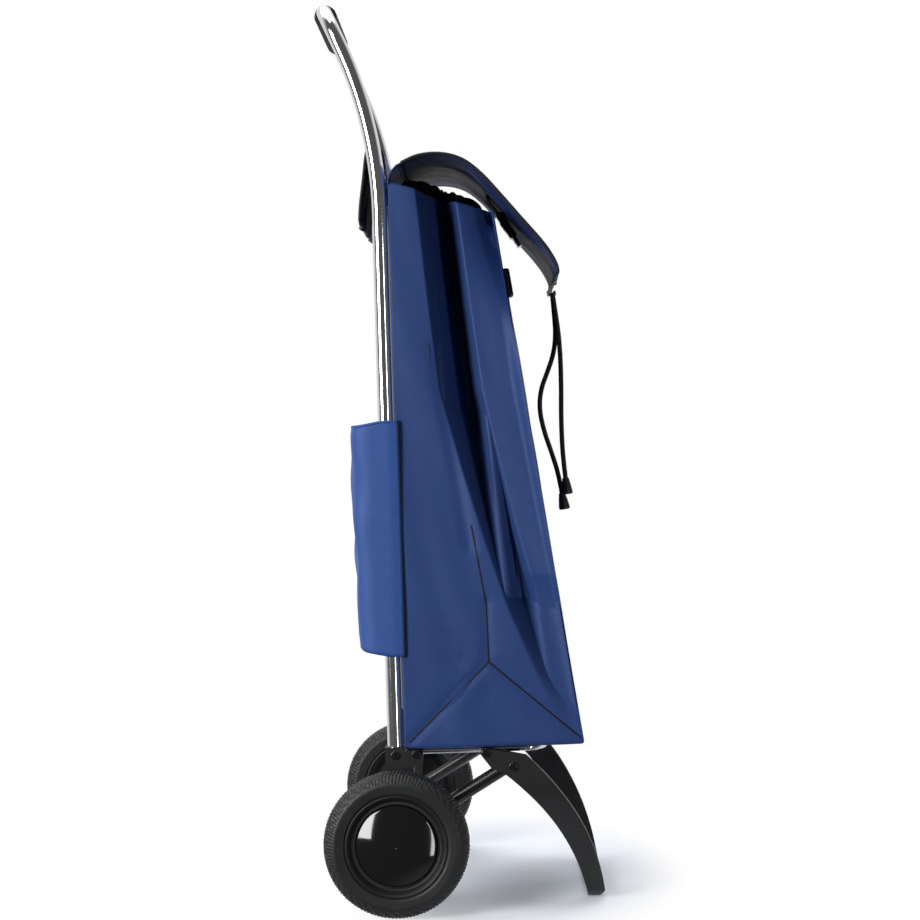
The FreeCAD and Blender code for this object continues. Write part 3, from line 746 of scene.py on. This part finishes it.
def side_fold(u, h, bag):
    """How far the side panel lies inside the bag's side: the gusset's fold and pressed creases.

    inward = depth * fall * (1 - climb * (1 - back)) + hollow + strip + creases
    """
    front = bag.front_at(h)
    rise = (h - bag.bottom) / (bag.top - bag.bottom)
    past = u - fold_edge(h)
    room = np.maximum(front - fold_edge(h), 26 * MM)
    depth = np.interp(rise, [0.0, 0.06, 0.16, 0.28, 0.45, 0.7, 1.0],
                      np.array([0, 3, 18, 42, 70, 86, 88]) * MM)
    floor = np.minimum(np.interp(rise, [0.0, 0.2, 0.38, 0.62, 1.0],
                                 np.array([18, 19, 21, 31, 30]) * MM), 0.55 * room)
    climb = np.interp(rise, [0, 0.4, 1.0], np.array([14, 20, 15]) * MM)
    back = np.interp(rise, [0.0, 0.14, 0.3, 0.6, 0.85, 1.0], [1.0, 0.72, 0.16, 0.16, 0.32, 0.42])
    # the cloth drops away from the fold's edge, then comes back out to a rounded ridge
    fall = np.clip((past + 1 * MM) / floor, 0, 1)
    fall = 0.75 * fall + 0.25 * fall * fall * (3 - 2 * fall)
    rebound = step(past, floor, floor + climb)
    inward = depth * fall * (1 - rebound * (1 - back))
    # high up it leans in again beside the front edge
    across = np.clip((past - floor - climb) / np.maximum(room - floor - climb, 12 * MM), 0, 1)
    inward = inward + 26 * MM * across ** 1.3 * step(rise, 0.74, 0.92)
    inward = inward * (1 - 0.85 * step(across, 0.7, 1.0) * (1 - step(rise, 0.6, 0.8))
                       * step(rise, 0.12, 0.36))
    # the strip behind the fold bows a little and leans in towards its edge
    strip = np.clip((u - bag.rear) / np.maximum(fold_edge(h) - bag.rear, 1 * MM), 0, 1)
    inward = inward + 3 * MM * strip ** 2 * (1 - fall) * step(rise, 0.15, 0.6)
    branch = segment_distance(u, h, (58 * MM, 545 * MM), (92 * MM, 330 * MM))
    inward = inward + 2.4 * MM * np.exp(-(branch / (8 * MM)) ** 2) * (1 - fall)
    # pressed creases
    corners, stem = crease_lines(bag)
    arms = [(corners[0], stem[0]), (stem[0], corners[1]), (stem[0], stem[1])]
    near = np.minimum.reduce([segment_distance(u, h, a, b) for a, b in arms])
    inward = inward + 1.6 * MM * np.exp(-(near / (6 * MM)) ** 2)
    # long soft folds, slanting from the upper left to the lower right
    slant = u - bag.rear + 0.45 * (h - bag.bottom)
    dents = waves(17, 6, [(60 * MM, 150 * MM), (400 * MM, 900 * MM)], slant, h)
    inward = inward + 0.9 * MM * dents * step(near, 3 * MM, 30 * MM) * (1 - step(rise, 0.5, 0.8))
    ripples = waves(11, 7, [(30 * MM, 70 * MM), (500 * MM, 900 * MM)], u + 0.24 * h, h)
    inward = inward + 0.25 * MM * ripples * step(rise, 0.05, 0.3)
    return np.maximum(inward, -2.5 * MM)


def bag_ring(count_rear, count_side, count_front):
    """Perimeter of the bag from the middle of the rear panel: which wall, and how far along it."""
    wall, share = [], []
    for name, count, start, end in (("rear", count_rear, 0.0, 1.0), ("left", count_side, 0.0, 1.0),
                                    ("front", count_front, 1.0, -1.0), ("right", count_side, 1.0, 0.0),
                                    ("rear", count_rear, -1.0, 0.0)):
        s = np.linspace(start, end, count, endpoint=False)
        wall += [name] * count
        share += list(s)
    return np.array(wall), np.array(share)


def bag_wall_points(bag, wall, share, h, inset, folds=True):
    """Points (u, y) of the bag's walls at heights h (rows), for each column of the ring."""
    h = h[:, None]
    front = bag.front_at(h) - inset
    rear = bag.rear + inset
    half = bag.half - inset
    share = share[None, :]
    is_side = np.isin(wall, ["left", "right"])[None, :]
    is_front = (wall == "front")[None, :]
    sign = np.where((wall == "left"), 1.0, -1.0)[None, :]
    rise = (h - bag.bottom) / (bag.top - bag.bottom)
    u_side = rear + (front - rear) * share
    inward = side_fold(u_side, h, bag) if folds else 0.0
    inward = inward * np.where(sign > 0, 0.92, 1.0)
    y = np.where(is_side, sign * (half - inward), half * share)
    u = np.where(is_side, u_side, np.where(is_front, front, rear))
    # front panel bellies slightly and carries upright ripples; the rear one is pulled flat
    belly = (1 - share ** 2) * np.sin(np.pi * np.clip(rise, 0, 1)) * 4.0 * MM
    ripple = waves(5, 8, [(35 * MM, 110 * MM), (300 * MM, 900 * MM)], y, h) * 1.8 * MM
    edge = 1 - np.abs(share) ** 6
    u = u + np.where(is_front, (ripple - 2.2 * MM + belly * 0.5) * edge, 0.0)
    rear_ripple = (waves(8, 7, [(30 * MM, 90 * MM), (200 * MM, 600 * MM)], y, h) + 1.6) * 1.1 * MM
    u = u + np.where(~is_side & ~is_front, rear_ripple * edge, 0.0)
    return u, y


def smooth_ring(values, passes):
    """Round the corners: each pass averages a column with its neighbours round the ring."""
    for _ in range(passes):
        values = 0.25 * np.roll(values, 1, axis=1) + 0.5 * values + 0.25 * np.roll(values, -1, axis=1)
    return values


def make_bag(bag, finishes):
    """Bag: outer wall up, hem over the mouth, inner wall down, closed over its bottom."""
    wall, share = bag_ring(20, 150, 40)
    cloth_thickness = 1.6 * MM
    rows_up = np.linspace(0, 1, 230) ** 0.97
    base = 4.0 * MM
    outer_h = bag.bottom + base + (bag.mouth_front_h - bag.bottom - base) * rows_up
    u, y = bag_wall_points(bag, wall, share, outer_h, 0.3 * MM)
    u, y = smooth_ring(u, 2), smooth_ring(y, 1)
    h = np.broadcast_to(outer_h[:, None], u.shape).copy()
    # the rows' heights stretch so that the last one follows the sloping mouth
    lift = bag.mouth(u[-1]) - bag.mouth_front_h
    h += lift[None, :] * rows_up[:, None] ** 1.5
    u = u + (bag.front_at(h) - bag.front_at(outer_h[:, None])) * (u - bag.rear) / (bag.front - bag.rear)
    outer = placed(u, y, h)
    # rolled hem and inner wall
    inner_share = np.array([1.0, 0.985, 0.9, 0.6, 0.25, 0.012])
    index = np.round(inner_share * (len(rows_up) - 1)).astype(int)
    middle = (bag.rear + bag.front_at(h[index])) / 2
    scale = 1 - cloth_thickness / bag.half
    inner = placed(middle + (u[index] - middle) * 0.985, y[index] * scale, h[index])
    inner[0, :, 2] -= 0.6 * MM
    # bottom, gathered to the middle
    def floor_rows(scales, u_row, y_row, height, rounding):
        rows = []
        centre = (bag.rear + bag.front) / 2
        for s, drop in zip(scales, rounding):
            rows.append(placed(centre + (u_row - centre) * s, y_row * s, height - drop))
        return np.array(rows)
    under = floor_rows([0.25, 0.6, 0.9, 0.965, 0.985, 0.996], u[0], y[0], bag.bottom + base,
                       np.array([4.0, 4.0, 4.0, 3.9, 3.2, 1.6]) * MM)
    inside = floor_rows([0.98, 0.6, 0.25], u[0] , y[0], bag.bottom + base, np.array([0, 1.0, 1.0]) * MM)
    points = np.concatenate([under, outer, inner, inside])
    run = np.concatenate([[0], np.cumsum(np.linalg.norm(np.diff(points, axis=0), axis=2).mean(axis=1))])
    around = distances(outer[40])
    uv = pairs(around[None, :], run[:, None])
    piece = outward(grid("bag_shell", points, closed_cols=True, caps=("first", "last"), uv=uv))
    finish_piece(piece, "frame", finishes["bag"], "bag", slot="bag_cloth")
    flatten_with_fold(piece, bag)
    make_side_seams_with_painted_shade(bag, finishes)


def make_side_seams_with_painted_shade(bag, finishes):
    """Piped seams along the creases of both side panels: thin near-black tubes, whose dark colour is also
    painted shadow in the creases.
    """
    corners, stem = crease_lines(bag)
    for side, sign in SIDES.items():
        for name, points, radius in (("foot", [corners[0], stem[0], corners[1]], 1.0 * MM),
                                     ("stem", stem[:3], 0.9 * MM)):
            line = resampled(np.array(points), 90)
            line = line[(line[:, 1] > bag.bottom + 7 * MM)]
            u, h = line[:, 0], line[:, 1]
            inward = side_fold(u, h, bag) * (0.92 if sign > 0 else 1.0)
            path = placed(u, sign * (bag.half - 0.2 * MM - inward), h)
            # near-black seam tube: stitched seam, and painted shadow along the pressed crease
            seam = tube("side_seam_" + name + "_" + side, path, radius, 8)
            finish_piece(seam, "frame", finishes["binding"], slot="binding")
            flatten_with_fold(seam, bag)


def make_collar(bag, finishes):
    """Dark inner sleeve, gathered in to a loose opening by its own cord channel."""
    wall, share = bag_ring(16, 40, 30)
    level = np.array([bag.mouth_front_h - 6 * MM])
    u, y = bag_wall_points(bag, wall, share, level, 7 * MM)
    u, y = smooth_ring(u, 2)[0], smooth_ring(y, 2)[0] * 0.97
    centre_u = (u.min() + u.max()) / 2
    angle = np.arctan2(y, (u - centre_u) * 2.4)
    rows = []
    for t in np.linspace(0, 1, 26):
        gather = 1 + 0.05 * t * np.sin(26 * angle + 1.5 * np.sin(3 * angle))
        opening = 1 - 0.66 * t ** 1.25
        ring_u = centre_u + (u - centre_u) * opening * gather
        rim = bag.mouth(ring_u) - 9 * MM * (1 - step(t, 0.0, 0.16))
        dome = 23 * MM * np.sin(np.pi * np.clip(0.62 * t, 0, 1)) * step(t, 0.06, 0.35)
        ripple = 2.0 * MM * t * np.sin(26 * angle) + 3 * MM * t * np.sin(3 * angle + 0.6)
        rows.append(placed(ring_u, y * opening * gather, rim + dome + ripple - 7 * MM))
    points = np.array(rows)
    thickness = 1.2 * MM
    inner = points[::-1].copy()
    inner[..., 2] -= thickness
    whole = np.concatenate([points, inner])
    uv = pairs(np.linspace(0, 0.9, points.shape[1])[None, :], np.linspace(0, 0.2, len(whole))[:, None])
    piece = outward(grid("gathered_collar", whole, closed_rows=True, closed_cols=True, uv=uv))
    finish_piece(piece, "frame", finishes["collar"], "collar", slot="lining")
    flatten_with_fold(piece, bag)


def make_pocket(bag, finishes):
    """Pocket round the tubes: bulging rear wall, rounded sides, doubled hem at the top."""
    low, high = lean_box("rear_pocket")
    rear, half, seam = low[0], high[1], high[0]
    corner = 30 * MM
    rows, across = 60, 150
    line = rounded_line([(seam, bag.half + 2.3 * MM), (0.004, half - 0.3 * MM), (rear, half - 3 * MM),
                         (rear, 0.0)], [30 * MM, corner], 10)
    line = np.vstack([line, (line[::-1] * [1, -1])[1:]])
    line = resampled(line, across)
    heights = np.linspace(low[2] + 1.5 * MM, high[2] - 1 * MM, rows)
    rise = np.linspace(0, 1, rows)[:, None]
    u = np.broadcast_to(line[:, 0], (rows, across)).copy()
    y = np.broadcast_to(line[:, 1], (rows, across)).copy()
    h = np.broadcast_to(heights[:, None], (rows, across)).copy()
    behind = step(-u, 0.0, 0.035)
    wave = waves(21, 8, [(45 * MM, 130 * MM), (90 * MM, 300 * MM)], y, h)
    u += behind * (2.2 * MM * wave * np.sin(np.pi * rise) + 4 * MM * (1 - rise) ** 2)
    pinch = np.exp(-((1 - rise) / 0.02) ** 2) * 1.2 * MM
    u += pinch * behind
    h -= (4 * MM * behind + 5 * MM * (1 - (y / half) ** 2) * behind) * step(rise, 0.7, 1.0)
    lift = 8 * MM * np.clip(-u / 0.04, 0, 1) + 7 * MM * np.clip((-u - 0.028) / 0.012, 0, 1) ** 2
    h += lift * (1 - step(rise, 0.0, 0.12))
    middle = placed(u, y, h)
    uv = pairs(np.linspace(0, 0.48, across)[None, :], heights[:, None])
    shell = closed_sheet("pocket_shell", middle, POCKET_CLOTH, uv)
    finish_piece(shell, "frame", finishes["pocket"], "rear_pocket", slot="pocket_cloth")

    hem_row = placed(u[-1], y[-1], h[-1] - 1 * MM)
    hem = tube("pocket_hem", resampled(hem_row, 120), 1.7 * MM, 10)
    finish_piece(hem, "frame", finishes["pocket"], slot="pocket_cloth")
    base = placed(u[1], y[1], h[1])
    edge = placed(np.full(across, bag.rear - 0.6 * MM), np.clip(line[:, 1], -bag.half, bag.half),
                  np.full(across, heights[1]))
    share = np.linspace(0, 1, 12)[:, None, None]
    floor_points = base[None] * (1 - share) + edge[None] * share
    floor_points[..., 2] += 2.5 * MM * np.sin(np.pi * share[..., 0])
    floor_uv = floor_points[..., :2]
    floor = closed_sheet("pocket_floor", floor_points, 1.2 * MM, floor_uv)
    finish_piece(floor, "frame", finishes["pocket"], slot="pocket_cloth")
    seam_line = placed(seam + 0.4 * MM, bag.half + 1.8 * MM, heights)
    for side, sign in SIDES.items():
        welt = tube("pocket_welt_" + side, seam_line * [1, sign, 1], 1.1 * MM, 8)
        finish_piece(welt, "frame", finishes["binding"], slot="binding")


# ---- lid and flap -------------------------------------------------------------------------
def make_lid(bag, finishes):
    high = lean_box("lid")[1]
    half = high[1] - 0.6 * MM
    line = spline(lid_points(bag), 90)
    across = 84
    y = np.linspace(-half, half, across)[None, :]
    run = distances(line)
    share = (run / run[-1])[:, None]
    tangent = np.gradient(line, axis=0)
    tangent /= np.linalg.norm(tangent, axis=1, keepdims=True)
    normal = np.stack([-tangent[:, 1], tangent[:, 0]], axis=1)
    # the sheet sags a little between its bound edges and ripples towards the hem
    sag = -3.0 * MM * (1 - (y / half) ** 2) * np.sin(np.pi * share)
    ripple = waves(31, 8, [(60 * MM, 160 * MM), (80 * MM, 260 * MM)], y + 0 * share, share * run[-1])
    offset = sag + 1.3 * MM * ripple * step(share, 0.05, 0.4) * (1 - (y / half) ** 8)
    # the strap and its buckle are sewn under the middle, which lies on its own line
    offset = offset * step(np.abs(y), 26 * MM, 70 * MM)
    u = line[:, 0][:, None] + normal[:, 0][:, None] * offset
    h = line[:, 1][:, None] + normal[:, 1][:, None] * offset
    middle = placed(u, np.broadcast_to(y, u.shape), h)
    uv = pairs(y, run[:, None])
    lid = closed_sheet("lid_sheet", middle, LID_CLOTH, uv)
    finish_piece(lid, "lid", finishes["lid"], "lid", slot="lid_cloth")
    # lining on the underside, a hair away from the cloth
    inner = middle - surface_normals(middle) * LID_CLOTH
    if (surface_normals(middle)[len(line) // 2, across // 2, 2]) < 0:
        inner = middle + surface_normals(middle) * LID_CLOTH
    inner = inner[2:-1, 1:-1]
    lining = closed_sheet("lid_lining", inner, 0.8 * MM, uv[2:-1, 1:-1])
    finish_piece(lining, "lid", finishes["lining"], slot="lining")
    # bound edge: one run of piping down a side, across the hem and up the other side
    first = middle[:, 0]
    last = middle[:, -1]
    hem = middle[-1]
    route = np.vstack([first[2:-3], hem[3:-3], last[2:-3][::-1]])
    piping = tube("lid_binding", resampled(route, 420), 2.1 * MM, 10)
    finish_piece(piping, "lid", finishes["binding"], "lid_piping", slot="binding")
    2 * half
    # root of the lid, sewn to the rear panel
    root_line = spline([(bag.rear + 1 * MM, bag.top - 4 * MM), (bag.rear + 1.6 * MM, bag.top + 2 * MM),
                        (bag.rear + 5 * MM, bag.top + 10.5 * MM), tuple(lid_points(bag)[0])], 14)
    root_y = np.linspace(-half, half, 40)[None, :]
    root = placed(root_line[:, 0][:, None], np.broadcast_to(root_y, (14, 40)), root_line[:, 1][:, None])
    root_uv = pairs(root_y, np.linspace(0, 0.03, 14)[:, None])
    strip = closed_sheet("lid_root_strip", root, LID_CLOTH, root_uv)
    finish_piece(strip, "frame", finishes["lid"], "lid_root", slot="lid_cloth")
    return line, normal


def lid_points(bag):
    """Points of the lid's side view, from its fold line to the hem."""
    top = bag.top + 3 * MM
    hinge = JOINTS["lid_hinge"]["pos_m"]
    fold = upright(np.array(hinge))[[0, 2]]
    offsets = np.array([(36, 25), (62, 26.5), (86, 19.5), (107, 3), (129, -22), (151, -48.5), (174, -76),
                        (186, -94), (191.5, -107), (191.5, -116), (189, -121)]) * MM
    rest = offsets + [bag.rear, top]
    return np.vstack([[fold + [0.3 * MM, 0.2 * MM]], rest])


def make_flap(bag, finishes):
    """Fabric over the crossbar: up from the rear panel, round the bar and down behind it."""
    low, high = lean_box("rear_flap")
    bar_low, bar_high = lean_box("crossbar")
    centre = (bar_low + bar_high) / 2
    radius = (bar_high[2] - bar_low[2]) / 2 + 2.0 * MM
    points = [(bag.rear - 1.4 * MM, bag.top - 26 * MM), (bag.rear - 1.2 * MM, bag.top - 4 * MM),
              (bag.rear - 2.5 * MM, bag.top + 14 * MM)]
    for angle in np.radians([15, 60, 100, 140, 178]):
        points.append((centre[0] + radius * np.cos(angle), centre[2] + radius * np.sin(angle)))
    points += [(centre[0] - radius - 4 * MM, centre[2] - 26 * MM), (low[0] + 3.5 * MM, low[2] + 22 * MM),
               (low[0] + 1.6 * MM, low[2] + 2 * MM)]
    line = spline(points, 70)
    half = high[1] - 1 * MM
    across = 56
    y = np.linspace(-half, half, across)[None, :]
    run = distances(line)
    share = (run / run[-1])[:, None]
    hang = step(share, 0.55, 1.0)
    wave = waves(41, 7, [(50 * MM, 140 * MM), (100 * MM, 300 * MM)], y + 0 * share, run[:, None] + 0 * y)
    u = line[:, 0][:, None] + (1.4 * MM * wave + 1.2 * MM) * hang
    h = np.broadcast_to(line[:, 1][:, None], u.shape)
    middle = placed(u, np.broadcast_to(y, u.shape), h)
    uv = pairs(y, run[:, None])
    flap = closed_sheet("rear_flap_sheet", middle, POCKET_CLOTH, uv)
    finish_piece(flap, "frame", finishes["bag"], "rear_flap", slot="bag_cloth")
    route = np.vstack([middle[30:-2, 0], middle[-1, 2:-2], middle[30:-2, -1][::-1]])
    hem = tube("rear_flap_hem", resampled(route, 240), 1.7 * MM, 10)
    finish_piece(hem, "frame", finishes["binding"], slot="binding")
    # lining on the flap's inner face behind the bar: the coated reverse side, given the collar's
    # near-black as painted shadow on that face
    normal = surface_normals(middle)
    inside = middle[38:-1, 1:-1] + normal[38:-1, 1:-1] * 1.2 * MM * np.sign(normal[-1, 5, 0])
    back = closed_sheet("rear_flap_lining", inside, 0.7 * MM, uv[38:-1, 1:-1])
    finish_piece(back, "frame", finishes["collar"], slot="lining")
    2 * half


# ---- straps -------------------------------------------------------------------------------
def ribbon_piece(name, line, width, thickness):
    """Flat strap along a line in the side view."""
    y = np.linspace(-width / 2, width / 2, 10)[None, :]
    run = distances(line)
    middle = placed(line[:, 0][:, None], np.broadcast_to(y, (len(line), 10)), line[:, 1][:, None])
    uv = pairs(run[:, None], y)
    return closed_sheet(name, middle, thickness, uv)


def make_straps(bag, finishes):
    low, high = lean_box("lid_strap")
    width = high[1] - low[1]
    start, end = np.array([low[0] + 0.4 * MM, high[2] - 0.4 * MM]), np.array([high[0], low[2]])
    line = spline([start, (start + end) / 2 + [-0.5 * MM, 0], end], 16)
    strap = ribbon_piece("lid_strap_web", line, width, WEBBING)
    finish_piece(strap, "lid", finishes["webbing"], "lid_strap", slot="webbing")
    low, high = lean_box("bag_strap")
    points = [(bag.front_at(h) + 1.2 * MM, h) for h in np.linspace(low[2] + 1 * MM, high[2], 5)]
    strap = ribbon_piece("bag_strap_web", spline(points, 20), width, WEBBING)
    finish_piece(strap, "frame", finishes["webbing"], "bag_strap", slot="webbing")
    flatten_with_fold(strap, bag)


# ---- wheels -------------------------------------------------------------------------------
def tyre_profile(radius, inner, half):
    """Closed (radius, y) line: seat, bulging side wall, rounded shoulder, flat tread."""
    corners = [(inner, 0), (inner, half - 3.5 * MM), (inner + 2 * MM, half - 1.2 * MM),
               (radius - 12 * MM, half), (radius - 1.5 * MM, half - 7 * MM), (radius, 0)]
    line = rounded_line(corners, [1 * MM, 1.5 * MM, 9 * MM, 7 * MM], 8)
    whole = np.vstack([line, (line[::-1] * [1, -1])[1:-1]])
    closed = np.vstack([whole, whole[:1]])
    return resampled(closed, 84)[:-1]


def tread(radius):
    """Fine slanted ribs on the tread and shoulders; returns the ripple for lathe()."""
    def ripple(angle, r, y):
        band = step(r, radius - 13 * MM, radius - 8 * MM)
        rib = np.sin(84 * angle + 480 * np.abs(y)) * np.sin(40 * angle - 800 * np.abs(y))
        return 0.8 * MM * band * np.clip(rib * 1.8, -1, 1) - 0.8 * MM * band
    return ripple


def make_wheels(finishes):
    for side, sign in SIDES.items():
        body = "wheel_" + side
        centre = np.array(JOINTS[body + "_spin"]["pos_m"])
        low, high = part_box("tyre_" + side)
        radius, half = (high[2] - low[2]) / 2, (high[1] - low[1]) / 2
        rim_low, rim_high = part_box("rim_" + side)
        inner = (rim_high[2] - rim_low[2]) / 2
        tyre = lathe("tread_" + side, tyre_profile(radius, inner, half), centre, 640, sign,
                     tread(radius))
        finish_piece(outward(tyre), body, finishes["tyre"], "tyre_" + side, slot="tyre")
        cap_low, cap_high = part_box("hubcap_" + side)
        cap_radius = (cap_high[2] - cap_low[2]) / 2
        face = max(abs(cap_low[1]), abs(cap_high[1])) - abs(centre[1])
        web = min(abs(cap_low[1]), abs(cap_high[1])) - abs(centre[1])
        make_rim(side, body, centre, inner, cap_radius, half, web, finishes)
        make_hubcap(side, body, centre, cap_radius, face, web, finishes)


def make_rim(side, body, centre, inner, cap_radius, half, web, finishes):
    """Wheel centre: hub, web, and a concave ring between cap and tyre on both faces."""
    bore = 7.5 * MM
    low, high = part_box("rim_" + side)
    back = -(abs(centre[1]) - min(abs(low[1]), abs(high[1])))
    outer_face = half - 3 * MM
    line = rounded_line(
        [(bore, back), (13 * MM, back), (15.5 * MM, -web), (cap_radius - 1 * MM, -web - 0.5 * MM),
         (cap_radius + 4 * MM, -11 * MM), (inner - 1.6 * MM, -outer_face), (inner, -outer_face + 1 * MM),
         (inner, outer_face - 1 * MM), (inner - 1.6 * MM, outer_face + 0.4 * MM),
         (inner - 4 * MM, outer_face - 2 * MM), (cap_radius + 4.5 * MM, 8.5 * MM),
         (cap_radius + 0.5 * MM, 9.5 * MM), (cap_radius + 0.4 * MM, web), (15 * MM, web),
         (13 * MM, 12 * MM), (bore, 12 * MM), (bore, back)],
        [1 * MM, 2 * MM, 5 * MM, 4 * MM, 1 * MM, 0.5 * MM, 0.5 * MM, 0.8 * MM, 2 * MM, 6 * MM, 1 * MM,
         0.3 * MM, 1 * MM, 1 * MM, 0.8 * MM], 5)
    rim = lathe("wheel_centre_" + side, line[:-1], centre, 128, SIDES[side])
    finish_piece(outward(rim), body, finishes["rim"], "rim_" + side, slot="rim")


def make_hubcap(side, body, centre, radius, face, web, finishes):
    """Domed cap: part of a sphere with a small rounded rim, hollow behind."""
    dome = 10 * MM
    edge = face - dome
    sphere = (radius ** 2 + dome ** 2) / (2 * dome)
    reach = np.linspace(0.0, 1.0, 30)
    r = (radius - 1.0 * MM) * reach
    front = np.stack([r, face - sphere + np.sqrt(sphere ** 2 - r ** 2)], axis=1)
    skirt = rounded_line([front[-1], (radius, edge - 0.4 * MM), (radius, web), (radius - 2 * MM, web)],
                         [0.8 * MM, 0.3 * MM], 5)[1:]
    back = front[::-1][3:] - [0.0, 2.0 * MM]
    line = np.vstack([front, skirt, back])
    line[:, 0] = np.maximum(line[:, 0], 0.15 * MM)
    cap = lathe("dome_" + side, line, centre, 128, SIDES[side])
    finish_piece(outward(cap), body, finishes["gloss"], "hubcap_" + side, slot="hubcap")


# ---- handle -------------------------------------------------------------------------------
TUBE_RADIUS = 8.75 * MM
TUBE_FOOT = 30 * MM
BEND_START = 718 * MM
BEND_RADIUS = 480 * MM
BEND = np.radians(23.5)
NECK = 50 * MM
HANDLE_CORNER = 45 * MM


def handle_half(y):
    """Middle line of the left half of the handle: leg, bend, neck and corner."""
    turn = np.linspace(0, BEND, 40)
    u = np.concatenate([np.zeros(20), -BEND_RADIUS * (1 - np.cos(turn))])
    h = np.concatenate([np.linspace(TUBE_FOOT, BEND_START, 20, endpoint=False),
                        BEND_START + BEND_RADIUS * np.sin(turn)])
    along = np.array([-np.sin(BEND), np.cos(BEND)])
    top = np.array([u[-1], h[-1]]) + along * NECK
    leg = placed(u, y, h)
    turn = np.linspace(0, np.pi / 2, 28)
    rise = top[:, None] - along[:, None] * HANDLE_CORNER * (1 - np.sin(turn))
    bar = placed(rise[0], y - HANDLE_CORNER * (1 - np.cos(turn)), rise[1])
    return np.vstack([leg, bar]), top


def make_handle(finishes):
    """Bent chrome tube and the foam sleeve on its bar."""
    half, top = handle_half(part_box("handle_tube")[1][1] - TUBE_RADIUS)
    path = np.vstack([half, (half * [1, -1, 1])[::-1]])
    handle = tube("handle_bar_tube", path, TUBE_RADIUS, 64)
    finish_piece(handle, "frame", finishes["chrome"], "handle_tube", slot="chrome_tube")
    grip_low, grip_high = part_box("handle_grip")
    radius = (grip_high[2] - grip_low[2]) / 2
    y = np.linspace(grip_low[1], grip_high[1], 60)
    bar = placed(np.full(60, top[0]), y, np.full(60, top[1]))
    ends = 1 - 0.10 * np.exp(-(np.minimum(y - y[0], y[-1] - y) / (3 * MM)) ** 2)

    def sleeve(angle, distance):
        spot = np.interp(distance, np.linspace(0, y[-1] - y[0], 60), ends)
        return radius * (spot - 1) + 0.06 * MM * (np.sin(10 * angle) - 1)

    grip = tube("handle_sleeve", bar, radius, 64, sleeve)
    finish_piece(grip, "frame", finishes["grip"], "handle_grip", slot="grip")


# ---- draw cords ---------------------------------------------------------------------------
CORD_ROUTES = {
    "right": [(0.1110, -0.0047, 0.7153), (0.1146, -0.0050, 0.6920), (0.1186, -0.0053, 0.6650),
              (0.1208, -0.0050, 0.6340), (0.1216, -0.0048, 0.6010), (0.1215, -0.0050, 0.5680),
              (0.1224, -0.0053, 0.5380), (0.1243, -0.0050, 0.5120), (0.1270, -0.0050, 0.4900)],
    "left": [(0.1110, 0.0047, 0.7153), (0.1132, 0.0049, 0.6920), (0.1152, 0.0044, 0.6660),
             (0.1126, 0.0046, 0.6420), (0.1050, 0.0048, 0.6200), (0.0970, 0.0046, 0.5990),
             (0.0950, 0.0044, 0.5750), (0.1008, 0.0048, 0.5480), (0.1108, 0.0050, 0.5200),
             (0.1190, 0.0046, 0.4940), (0.1230, 0.0045, 0.4710)],
}
CORD_DIAMETER = 6 * MM


def route_line(points):
    """Points along the smooth NURBS curve whose control points are the route."""
    data = bpy.data.curves.new("route", "CURVE")
    data.dimensions = "3D"
    run = data.splines.new("NURBS")
    run.points.add(len(points) - 1)
    for place, p in zip(run.points, points):
        place.co = (*p, 1.0)
    run.order_u = 3
    run.use_endpoint_u = True
    data.resolution_u = 16
    piece = bpy.data.objects.new("route", data)
    bpy.context.scene.collection.objects.link(piece)
    bpy.context.view_layer.update()
    mesh = bpy.data.meshes.new_from_object(piece)
    line = np.array([v.co[:] for v in mesh.vertices])
    bpy.data.objects.remove(piece)
    bpy.data.meshes.remove(mesh)
    return line


def make_cords(finishes):
    """Two braided cords from the eyelets in the lid's hem, each with a bell-shaped end."""
    for side, route in CORD_ROUTES.items():
        line = route_line(route)
        even = resampled(line, 260)

        def strands(angle, distance):
            wound = 2 * np.pi * distance / (9 * MM)
            return 0.14 * MM * np.sin(8 * angle + 3 * wound) * np.sin(8 * angle - 3 * wound)

        cord = tube("cord_" + side, even, CORD_DIAMETER / 2 - 0.1 * MM, 32, strands)
        finish_piece(cord, "lid", finishes["braid"], "draw_cord_" + side, slot="cord")
        end = make_cord_end(side, even[-1], even[-1] - even[-4], finishes)


def make_cord_end(side, start, direction, finishes):
    """Bell-shaped plastic end: neck, flared body and a rounded lip, turned about the cord's line."""
    axis = direction / np.linalg.norm(direction)
    profile = rounded_line([(3.1, -1.0), (4.2, -1.0), (4.4, 1.5), (5.4, 6.0), (6.9, 15.5), (6.6, 18.4),
                            (4.6, 18.9), (0.1, 18.0)], [0.5, 1.5, 3.0, 1.6, 1.0, 0.8], 6) * MM
    first = np.cross(axis, [0.0, 1.0, 0.0])
    first /= np.linalg.norm(first)
    second = np.cross(axis, first)
    angle = np.linspace(0, 2 * np.pi, 40, endpoint=False)
    r, along = profile[:, 0][:, None], profile[:, 1][:, None]
    facets = 1 - 0.02 * np.cos(6 * angle)
    points = (start + axis * along[..., None] + first * (r * facets * np.cos(angle))[..., None]
              + second * (r * facets * np.sin(angle))[..., None])
    bell = outward(grid("bell_" + side, points, closed_cols=True, caps=("first", "last")))
    return finish_piece(bell, "lid", finishes["cord_end"], "cord_end_" + side, slot="cord_end")


# ---- everything ---------------------------------------------------------------------------
make_camera()
finishes = make_finishes()
bag = Bag()
make_cords(finishes)
make_studio()
dress_cad(finishes)
make_bag(bag, finishes)
make_collar(bag, finishes)
make_pocket(bag, finishes)
make_lid(bag, finishes)
make_flap(bag, finishes)
make_straps(bag, finishes)
make_handle(finishes)
make_wheels(finishes)
